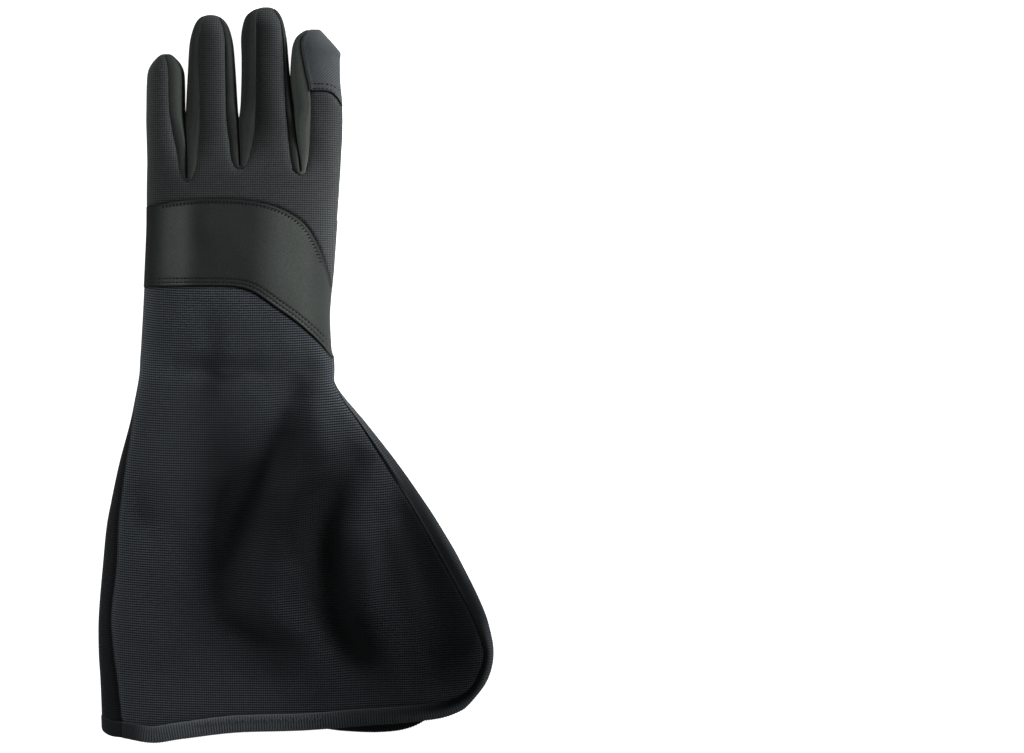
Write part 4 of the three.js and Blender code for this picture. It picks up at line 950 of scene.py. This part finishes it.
def strip_places(finger, side, y, f, cy):
    """Section of a side strip from the palm seam, at 0, up to the back seam, at 1."""
    sign = -1 if side == "left" else 1
    middle, half = lane(finger, y)
    top_x, low_x = seam_x(finger, side, y), seam_x(finger, side, y, upper=False)
    top_z, low_z = finger_top(finger, top_x, y)[..., 2], finger_low(finger, low_x, y)[..., 2]
    rise = np.clip((f - STRIP_SIDE) / (1 - STRIP_SIDE), 0, 1)
    turn = rise * math.pi / 2
    seam = np.clip(sign * (top_x - middle) / half, -0.2, 0.98)
    out = seam + (1 - seam) * np.cos(turn) ** (2 / strip_round(y, cy))
    over = SEAM_HEIGHT + (top_z - SEAM_HEIGHT) * np.sin(turn) ** (2 / strip_round(y, cy))
    fall = np.clip(1 - f / STRIP_SIDE, 0, 1)
    stop = np.arccos(np.clip(sign * (low_x - middle) / half, 0.5, 0.995))
    c = np.cos(stop * fall)
    under = (1 - c**4) ** 0.25 / (1 - np.cos(stop) ** 4) ** 0.25
    low = SEAM_HEIGHT + (low_z - SEAM_HEIGHT) * under
    upper = f > STRIP_SIDE
    crest = STRIP_CREST * ramp(top_z, SEAM_HEIGHT, 5) * bell(rise - 0.5, 0.35)
    return as_points(middle + sign * half * np.where(upper, out, c), y,
                     np.where(upper, over + crest, low))


side_cloth = cloth_material("side_cloth", fine_nap, (0.011, 0.013, 0.0118), (0.026, 0.0295, 0.027),
                            0.05, gloss=0.015, rough=0.8, patchy=0.3)
for name, left, right, cx, cy in CROTCHES:
    f = np.linspace(0, 1, STRIP_COLUMNS)

    def wall(finger, side):
        """The strip along one finger, kept on its own side of the gap."""
        y = mix(cy, tip_of(finger) - STRIP_END, to_tip(STRIP_ROWS) ** 1.1)[:, None]
        places = strip_places(finger, side, y, f, cy)
        (low_mid, low_half), (high_mid, high_half) = lane(left, y), lane(right, y)
        middle = mix(cx, (low_mid + low_half + high_mid - high_half) / 2, ramp(y, cy, 8))
        limit, gap = (np.minimum, -0.01) if side == "right" else (np.maximum, 0.01)
        places[..., 0] = limit(places[..., 0], middle + gap)
        return places

    down, up = wall(left, "right"), wall(right, "left")
    turns = []
    for turn in np.linspace(0, math.pi, 17)[1:-1]:
        t = turn / math.pi
        p, q = down[0], up[0]
        radius = mix(cx - p[:, 0], q[:, 0] - cx, t)
        turns.append(as_points(cx - radius * math.cos(turn),
                               cy - np.minimum(radius, CROTCH_RADIUS) * math.sin(turn),
                               mix(p[:, 2], q[:, 2], t)))
    places = np.concatenate([down[::-1], np.array(turns), up])
    line = places[:, STRIP_MIDDLE, :2]
    walked = np.cumsum(np.hypot(*np.diff(line, axis=0, prepend=line[:1]).T))
    weave = as_points(f * 16, walked[:, None])
    leant = np.cos(np.clip((f - STRIP_SIDE) / (1 - STRIP_SIDE), 0, 1) * math.pi / 2)
    beside_seam = leant ** (2 / strip_round(places[..., 1], cy))
    soft = np.concatenate([tip_fade(left, down[::-1, :, 1]), np.ones((len(turns), STRIP_COLUMNS)),
                           tip_fade(right, up[..., 1])])
    # Painted shade on each strip, and more of it beside the back seam.
    shade = mix(STRIP_DIM[left], STRIP_DIM[right], np.linspace(0, 1, len(soft))[:, None].round())
    shade = shade + 0.15 * soft * bell(beside_seam, 0.35)
    sink = 0.35 * soft * bell(beside_seam, 0.25)
    places[..., 2] -= sink * ramp(places[..., 2], SEAM_HEIGHT, 3)
    strip = cut_out([cloth_grid(places, weave, shade)], name + "_cloth", STRIP_WALL, side_cloth)
    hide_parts(name)

# Palm
# The palm with the four finger fronts is one panel of the band's brushed cloth, rolled up at both
# sides to the seams. It is open on the thumb side, and lies over the thumb folded under it.
WRIST_SEAM = 3
UNDER_SEAM = SEAM_HEIGHT - 0.1
PALM_ROWS = 90


def palm_columns(share, y):
    """Place across the palm, which is cut back at the opening for the thumb."""
    trim = HOLE_DEPTH * hole_share(y)
    return mix(body(LEFT, y), body(RIGHT, y) - trim, (share + 1) / 2)


parts = []
grids = {finger: lane_grid(finger, upper=False) for finger in FINGERS}
for finger, (x, y) in grids.items():
    places = finger_low(finger, x, y)
    places[..., 2] = np.minimum(places[..., 2], UNDER_SEAM)
    parts.append(cloth_grid(places, as_points(x, y), turned=True))
x, y, places = below_roots(grids, [], lambda share: WRIST_SEAM, palm_columns, 12, PALM_ROWS,
                           finger_low)
tucked = np.where(np.abs(share_at(x, y)) > 0.99, UNDER_SEAM, np.inf)
places[..., 2] = np.minimum(places[..., 2], tucked)
parts.append(cloth_grid(places, as_points(x, y), turned=True))
palm = cut_out(parts, "palm_cloth", FOLDED_WALL, brushed)
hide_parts("palm")

# Thumb
# The thumb stall is sewn of the same cloth into the opening on the thumb side, and is folded
# flat under the palm, so that the glove lies on it.
THUMB_MIDDLE = 4.7
THUMB_HALF = 4.6
THUMB_ROWS = np.array([
    # along and across the thumb on its lower and upper border, and the share of its height
    [-12, 22.5, 15, -23, 1], [6, 19.5, 24, -19, 1], [22, 17, 31, -16.5, 1], [36, 15, 40, -15, 1],
    [49, 13.5, 50, -13.5, 0.98], [56, 11, 56, -11, 0.86], [61, 7.5, 61, -7.5, 0.58],
    [63.5, 3.5, 63.5, -3.5, 0],
])
THUMB_COLUMNS, THUMB_UNDER = 49, 24
LIP_LOW, LIP_HIGH = 21, 93


def between_rows(table, at):
    """Smooth point of a table at a place counted in its rows."""
    rows = np.asarray(table, float)
    last = len(rows) - 1
    i = np.clip(np.floor(at).astype(int), 0, last - 1)
    t = (at - i)[..., None]
    return bend(*(rows[np.clip(i + k, 0, last)] for k in (-1, 0, 1, 2)), t)


def thumb_place(along, aside):
    c, s = math.cos(THUMB_TURN), math.sin(THUMB_TURN)
    return as_points(THUMB_MOUTH[0] + along * c - aside * s, THUMB_MOUTH[1] + along * s + aside * c)


at = np.concatenate([np.linspace(0, 4, 30), np.linspace(4, 7, 26)[1:]])
rows = between_rows(THUMB_ROWS, at)
low, high = thumb_place(rows[:, 0], rows[:, 1]), thumb_place(rows[:, 2], rows[:, 3])
turn = np.linspace(0, 2 * math.pi, THUMB_COLUMNS)
c, s = np.cos(turn), np.sin(turn)
flat = np.sign(s) * (1 - np.abs(c) ** 3) ** (1 / 3)
flat[[0, THUMB_UNDER, -1]] = 0
height = np.clip(rows[:, 4], 0, 1)[:, None]
height[-1] = 0
plan = (low + high)[:, None] / 2 + (high - low)[:, None] / 2 * c[:, None]
stall = as_points(plan[..., 0], plan[..., 1], THUMB_MIDDLE + THUMB_HALF * height * flat)
parts = [cloth_grid(stall, as_points(turn * 8, at[:, None] * 9), turned=True)]
border = stall[0, THUMB_UNDER:]
y = mix(LIP_LOW, LIP_HIGH, np.linspace(0, 1, len(border)))
lip = as_points(body(RIGHT, y), y, SEAM_HEIGHT - 0.3)
rolled = as_points(lip[:, 0] - ROLL * 0.35, mix(border[:, 1], y, 0.7),
                   mix(border[:, 2], lip[:, 2], 0.25))
t = np.linspace(0, 1, 12)[:, None, None]
pull = 2 * rolled - (border + lip) / 2
gusset = (1 - t) ** 2 * lip + 2 * t * (1 - t) * pull + t**2 * border
parts.append(cloth_grid(gusset[::-1], as_points(y, t[::-1, :, 0] * 20)))
thumb = cut_out(parts, "thumb_cloth", FOLDED_WALL, brushed)
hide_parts("thumb")

# Upper cuff panel
# A long flared panel of close black rib knit, its ribs running across the forearm. It is sewn
# under the knuckle band, open in a slit on the thumb side, and falls into slack folds.
CUFF_SEAM = [[4, 1], [-4, 0.992], [-20, 0.984], [-45, 0.945], [-77, 0.922], [-111, 0.906],
             [-143, 0.92], [-160, 0.912], [-191, 0.888], [-208, 0.868], [-222, 0.862]]
BACK_EDGE = np.array([
    # free edge seen from above, from the top of the slit to the mouth, and the binding's width
    [23.8, -4, 0.5], [31.1, -15, 1.6], [42.5, -28, 3.4], [62.2, -53, 6.8], [78.2, -76, 8.4],
    [98.8, -110, 9.8], [108.4, -127.5, 9.8], [114.7, -144, 8.2], [119.1, -165, 6],
    [116.4, -181, 7], [108.6, -195.2, 8.8], [92.6, -203.6, 9.8], [72, -206.3, 10.4],
    [40, -208.2, 10.8], [8, -210.6, 10.9], [-33, -211.9, 10.9], [-64.5, -215.8, 10.7],
    [-83.3, -218.6, 10.6], [-102.7, -216.1, 10.2],
])
BACK_CORNER = 8.47
SLIT_SHARE = 0.1
TAPE_COVER = 0.06
CUFF_COLUMNS, CUFF_ROWS = 190, 170


def cuff_seam(y):
    return -np.minimum(follow(CUFF_SEAM, y), 1)


def edge_lines(table, at):
    """Outer and inner line of a binding at places counted in rows of its edge's table."""
    last = len(table) - 1
    here = between_rows(table, at)
    ahead, behind = np.minimum(at + 0.05, last), np.maximum(at - 0.05, 0)
    way = between_rows(table, ahead) - between_rows(table, behind)
    length = np.hypot(way[..., 0], way[..., 1])
    inward = as_points(way[..., 1], -way[..., 0]) / length[..., None]
    return here[..., :2], here[..., :2] + inward * here[..., 2:]


def under_tape(table, at):
    """Line of the cloth's edge a little way under its binding."""
    outer_line, inner_line = edge_lines(table, at)
    return mix(inner_line, outer_line, TAPE_COVER)


def sides_between(top, bottom, left, right, u, v):
    """Points inside four boundaries; top and bottom run with u, left and right with v."""
    u, v = u[:, None], v[:, None, None]
    corners = mix(mix(top[0], top[-1], u), mix(bottom[0], bottom[-1], u), v)
    return mix(left[:, None], right[:, None], u) + mix(top, bottom, v) - corners


last = len(BACK_EDGE) - 1
u = to_edges(CUFF_COLUMNS)
v = np.linspace(0, 1, CUFF_ROWS)
v = mix(v, (1 - np.cos(v * math.pi)) / 2, 0.35)
mouth_end = edge_lines(BACK_EDGE, np.array(float(last)))[1][1]
top_share = mix(cuff_seam(BAND_BOTTOM[0][1]), 1, u)
top = as_points(top_share, seam_line(BAND_BOTTOM, top_share))
left_y = mix(top[0, 1], mouth_end, v)
left = as_points(cuff_seam(left_y), left_y)
along_slit = np.maximum(BACK_CORNER * (v - SLIT_SHARE) / (1 - SLIT_SHARE), 0)
inner = under_tape(BACK_EDGE, along_slit)
slit_y = mix(top[-1, 1], BACK_EDGE[0, 1], np.minimum(v / SLIT_SHARE, 1))
right = np.where((v < SLIT_SHARE)[:, None], as_points(1, slit_y),
                 as_points(share_at(*inner.T), inner[:, 1]))
mouth = under_tape(BACK_EDGE, mix(last, BACK_CORNER, u))
bottom = as_points(share_at(*mouth.T), mouth[:, 1])
bottom[0] = left[-1]
right[-1] = bottom[-1]
plan = sides_between(top, bottom, left, right, u, v)[::-1]
share, y = np.clip(plan[..., 0], -1, 1), plan[..., 1]
x = plan_x(share, y)
cuff_left_route = as_points(plan_x(*left.T), left[:, 1])
hem_route = edge_lines(BACK_EDGE, np.linspace(0, last, 240))[1]
# Painted shade along the seams and the binding, and painted shade and light from the SHADED table
# over the folds.
places, shade = drawn_in(back_place(share, y), [band_bottom_route], 0.35, 1.0)
places, shade_left = drawn_in(places, [cuff_left_route], 0.6, 1.6)
places, shade_hem = drawn_in(places, [hem_route], 0.3, 1.0)
shade_hem = shade_hem * mix(0.3, 1.1, ramp(x, 30, 30) * ramp(y, -190, 20))
painted_fold_shade = np.clip(fold_height(x, y, SHADED), -0.35, 1)
shade = np.maximum(np.maximum(shade, 0.8 * shade_left), shade_hem)
shade = shade + painted_fold_shade * (1 - shade)
cuff_knit = cloth_material("cuff_knit", rib_knit(1.42, 1.3, 0.6, 1.7), (0.0018, 0.002, 0.0022),
                           (0.046, 0.054, 0.0612), 0.2, gloss=0.03)
cuff_back = cut_out([cloth_grid(places, as_points(x, y + 0.25 * places[..., 2]), shade)],
                    "cuff_upper_cloth", KNIT_WALL, cuff_knit)
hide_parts("cuff_back")

# Lower cuff panel
# The lower panel of the same knit lies on the table. It rolls up round the little finger side
# to the long seam on the upper side, and is open towards the thumb side like the upper one.
PALM_EDGE = np.array([
    # its free edge, in the same way
    [23.2, -3, 4], [29.4, -16, 8], [38.5, -29, 10], [55, -54, 10], [69, -77, 10], [88, -111, 10],
    [98.5, -135, 10], [104.5, -158, 10], [102.5, -178, 10], [94, -194.5, 10], [79, -207.1, 10],
    [66, -213.2, 10], [49, -215.2, 10], [28, -214.4, 10], [6, -212, 10], [-35, -212.3, 10],
    [-67, -216.4, 10], [-92, -218, 10],
])
PALM_CORNER = 8.4
PALM_SLIT = 1 / 14
PALM_NEAR = 12
LOW_COLUMNS, LOW_ROWS = 100, 120
PALM_MOUTH = [[-118.5, -209], [-116, -212.8], [-110, -215.5], [-102, -216.1], [-92, -217]]
MOUTH_BAND = 10


def cuff_low(x, y, inset):
    """Point of the lower surface of the cuff, or at a height over it."""
    roll_left, roll_right = rolls(x, y)
    roll_right = roll_right * ramp(y, -12, 14)
    z = SEAM_HEIGHT * roll_left + (SEAM_HEIGHT - 0.15) * roll_right
    return as_points(x + inset * roll_left - inset * roll_right, y,
                     z + inset * (1 - np.maximum(roll_left, roll_right)))


def wrap_place(t, y, inset):
    """Point round the little finger side: t is -1 at the seam on the back, 0 at the edge and 1
    on the table."""
    round_ = body(ROUND_LEFT, y)
    flank = np.maximum(1 - np.abs(cuff_seam(y)) ** round_, 0) ** (1 / round_)
    tucked = np.clip(-t - 1, 0, 1)
    h = np.maximum(flank, 0.1) * np.clip(-t, 0, 1.2)
    hidden = 0.3 * (1 - ramp(flank, 0.1, 0.1)) + 12 * tucked
    upper = back_place(-((1 - np.minimum(h, 0.999)**round_) ** (1 / round_)), y, -inset - hidden)
    lower = cuff_low(body(LEFT, y) + ROLL * np.clip(t, 0, 1), y, inset)
    return np.where((t < 0)[..., None], upper, lower)


def wrap_mouth(t):
    """Where the mouth of the lower panel lies along the glove, round the little finger side."""
    y = np.full(np.shape(t), -211.0)
    for _ in range(6):
        y = follow(PALM_MOUTH, wrap_place(t, y, 0.0)[..., 0])
    return y


t = np.concatenate([np.linspace(-1.15, 0, 29), np.linspace(0, 1, 14)[1:]])
v = np.linspace(0, 1, LOW_ROWS)
y = mix(WRIST_SEAM, wrap_mouth(t) + MOUTH_BAND, v[:, None])
side = wrap_place(np.broadcast_to(t, y.shape), y, 0.0)
u = to_edges(LOW_COLUMNS)
palm_last = len(PALM_EDGE) - 1
along_slit = np.maximum(PALM_CORNER * (v - PALM_SLIT) / (1 - PALM_SLIT), 0)
inner = edge_lines(PALM_EDGE, along_slit)[1]
corner = np.array([body(RIGHT, WRIST_SEAM), WRIST_SEAM])
right = np.where((v < PALM_SLIT)[:, None], mix(corner, inner[0], (v / PALM_SLIT)[:, None]), inner)
left = side[:, -1, :2]
top = as_points(mix(left[0, 0], corner[0], u), WRIST_SEAM)
along_mouth = np.maximum(u - 1 / PALM_NEAR, 0) / (1 - 1 / PALM_NEAR)
mouth = edge_lines(PALM_EDGE, mix(palm_last, PALM_CORNER, along_mouth))[1]
bottom = mix(left[-1], mouth, np.clip(u * PALM_NEAR, 0, 1)[:, None])
right[-1] = bottom[-1]
plan = sides_between(top, bottom, left, right, u, v)
under = cuff_low(plan[..., 0], plan[..., 1], 0.0)
places = np.concatenate([side, under[:, 1:]], axis=1)[::-1, ::-1]
lowered, shade = drawn_in(places, [cuff_left_route], 0.6, 1.6)
on_top = (places[..., 2] > SEAM_HEIGHT)[..., None]
places = np.where(on_top, lowered, places)
steps = np.diff(places, axis=1, prepend=places[:, :1])
walked = np.cumsum(np.linalg.norm(steps, axis=-1), axis=1)
weave = as_points(walked, places[..., 1] + 0.2 * places[..., 2])
# Painted shade on the cloth where it rolls up round the little finger side.
strip_shade = 0.965 * ramp(places[..., 2], 2, 3) * (places[..., 0] < -60)
shade = np.maximum(shade * on_top[..., 0], strip_shade)
cuff_palm = cut_out([cloth_grid(places, weave, shade)], "cuff_lower_cloth", KNIT_WALL, cuff_knit)
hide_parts("cuff_palm")

# Bindings
# Ribbed elastic tape is folded over the free edges of both cuff panels, along the slit, round
# the corner and along the mouth, and held by a row of light stitches beside the seam.
TAPE = 3.0
TAPE_PROUD = 0.6
TAPE_RIB = 1.58
RIB_DEPTH, RIB_POINTS = 0.34, 5
FOLD_SQUARE = 0.7
LOST = 1.1
section = np.linspace(0, 2 * math.pi, 29)


def bound_edge(name, station, count, plain, dim):
    """A folded tape. station gives its point at a place along the edge, a share of its width and
    a depth in it; plain is the share of ribs left there, and dim how much painted shade darkens it,
    or painted light where negative."""
    fine = np.linspace(0, count, 3000)
    line = station(fine, np.full(len(fine), 0.5), np.full(len(fine), TAPE / 2))
    walked = np.cumsum(np.linalg.norm(np.diff(line, axis=0, prepend=line[:1]), axis=1))
    length = float(walked[-1])
    steps = int(length / (TAPE_RIB / RIB_POINTS))
    at = np.interp(np.linspace(0, length, steps), walked, fine)[:, None]
    c, s = np.cos(section), np.sin(section)
    rib = 0.5 - 0.5 * np.cos(np.linspace(0, length / TAPE_RIB, steps) * 2 * math.pi)[:, None]
    rib = rib * plain(at)
    wide = 0.5 - 0.5 * np.sign(c) * np.abs(c) ** FOLD_SQUARE
    deep = TAPE / 2 - TAPE / 2 * np.sign(s) * np.abs(s) ** FOLD_SQUARE
    outer_half = np.clip((wide - 0.1) / 0.3, 0, 1)
    deep = deep + RIB_DEPTH * (1 - rib) * s * outer_half
    ends = np.ones_like(at)
    ends[[0, -1]] = 0
    wide = mix(0.5, wide * (1 - 0.03 * (1 - rib) * outer_half), ends)
    deep = mix(TAPE / 2, deep, ends)
    places = station(np.broadcast_to(at, wide.shape), wide, deep)
    weave = as_points(np.linspace(0, length, steps)[:, None], section * 3)
    # Painted shade in the furrows between the ribs and along the tape's inner edge, with the
    # painted light and shade of dim over it.
    shade = np.maximum(0.3 * bell(wide, 0.06), 0.75 * (1 - rib) * ease(wide / 0.08))
    shade = LOST - (LOST - shade) * (LOST - dim(at, wide)) / LOST
    return cut_out([cloth_grid(places, weave, shade, turned=True)], name, 0, tape)


def tape_threads(tree):
    across_, _ = cloth_lengths(tree)
    return calc(tree, "MULTIPLY_ADD", yarn_row(tree, across_, TAPE_RIB / 3, 0.5), 0.35, 0.65)


tape = cloth_material("ribbed_tape", tape_threads, (0.014, 0.0158, 0.017), (0.05, 0.056, 0.061),
                      0.08, gloss=0.02)


def back_station(at, wide, deep):
    """Point of the upper tape, which ends at the long seam on the little finger side."""
    outer, inner = edge_lines(BACK_EDGE, at)
    plan = mix(inner, outer, wide[..., None])
    share = share_at(plan[..., 0], plan[..., 1])
    share = mix(share, cuff_seam(plan[..., 1]), ramp(at, last - 0.25, 0.25))
    return back_place(share, plan[..., 1], TAPE_PROUD - deep, 0.0)


def back_dim(at, wide):
    """Painted light and shade on the upper tape, at places counted in rows of its edge's table.
    Along the slit a painted highlight line, in place of a narrow ridge, lies beside painted shade,
    in place of a hollow. Further down and round the corner painted shade leaves only the outer
    border lighter, and along the mouth the tape is painted lighter towards the little finger side."""
    past_slit = ramp(at, 6.8, 1.0)
    past_corner = ramp(at, 10.6, 2.4)
    lower = ramp(at, 3, 0.8)
    band = mix(0.45, 0.88, ramp(at, 1, 2.5))
    painted_groove_shade = mix(LOST, band, ramp(wide, 0.2, 0.12))
    painted_groove_shade = painted_groove_shade - 0.4 * bell(wide - 0.36, 0.07)
    inside = mix(0.98, 1.06, ramp(at, 3.8, 1.2))
    border = mix(0.86, 0.5, ramp(at, 3.8, 1.1)) + 0.2 * ramp(at, 5.2, 0.8)
    slit = mix(inside, border, ramp(wide, 0.5, 0.42))
    painted_ridge_highlight = mix(0.38, 0.2, ramp(at, 3.8, 1.2)) * (1 - ramp(at, 5.4, 1.2))
    slit = mix(painted_groove_shade, slit - painted_ridge_highlight * bell(wide - 0.12, 0.05), lower)
    corner = mix(LOST, 0.25, ramp(wide, 0.34, 0.38))
    mouth = (0.45 * ramp(at, 16.9, 0.8) - 0.35 * (1 - ramp(at, 16.5, 1.5))
             + 0.95 * (1 - ramp(at, 12.9, 1.7)) - 0.4 * bell(at - 15.8, 0.8))
    return mix(mix(slit, corner, past_slit), mouth, past_corner)


hem_back = bound_edge("binding_upper", back_station, last,
                      lambda at: 1 - 0.85 * ramp(at, 17.2, 0.4), back_dim)
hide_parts("hem_back")


def palm_station(at, wide, deep):
    """Point of the lower tape, which goes on round the little finger side to the long seam."""
    outer, inner = edge_lines(PALM_EDGE, np.minimum(at, palm_last))
    plan = mix(inner, outer, wide[..., None])
    flat_place = cuff_low(plan[..., 0], plan[..., 1], TAPE - deep)
    t = 1 - (at - palm_last) * 1.06
    mouth = wrap_mouth(np.clip(t, -1, 1))
    y = mix(mouth + MOUTH_BAND, mouth, wide)
    wrapped = wrap_place(np.minimum(t, 1), y, deep - TAPE_PROUD)
    placed = np.where((at <= palm_last)[..., None], flat_place, wrapped)
    placed[..., 2] = np.maximum(placed[..., 2], 0)
    return placed


hem_palm = bound_edge("binding_lower", palm_station, palm_last + 2,
                      lambda at: 1 - 0.9 * ease((at - palm_last + 1) / 0.5),
                      lambda at, wide: np.full(wide.shape, 0.8))
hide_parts("hem_palm")


def hem_height(x, y):
    return back_place(share_at(x, y), y, TAPE_PROUD)[..., 2]


light_thread = thread_material("light_thread", (0.03, 0.033, 0.036))
hem_line = hem_route[(np.abs(hem_route[:, 0] + 21) < 40) & (hem_route[:, 1] < -190)]
hem_thread = stitch_row("binding_upper_stitches", [beside(hem_line, 3.4)], hem_height, pitch=2.1,
                        length=3.2, thick=0.6, lift=0.05, material=light_thread,
                        turn=np.radians([62, 118]))
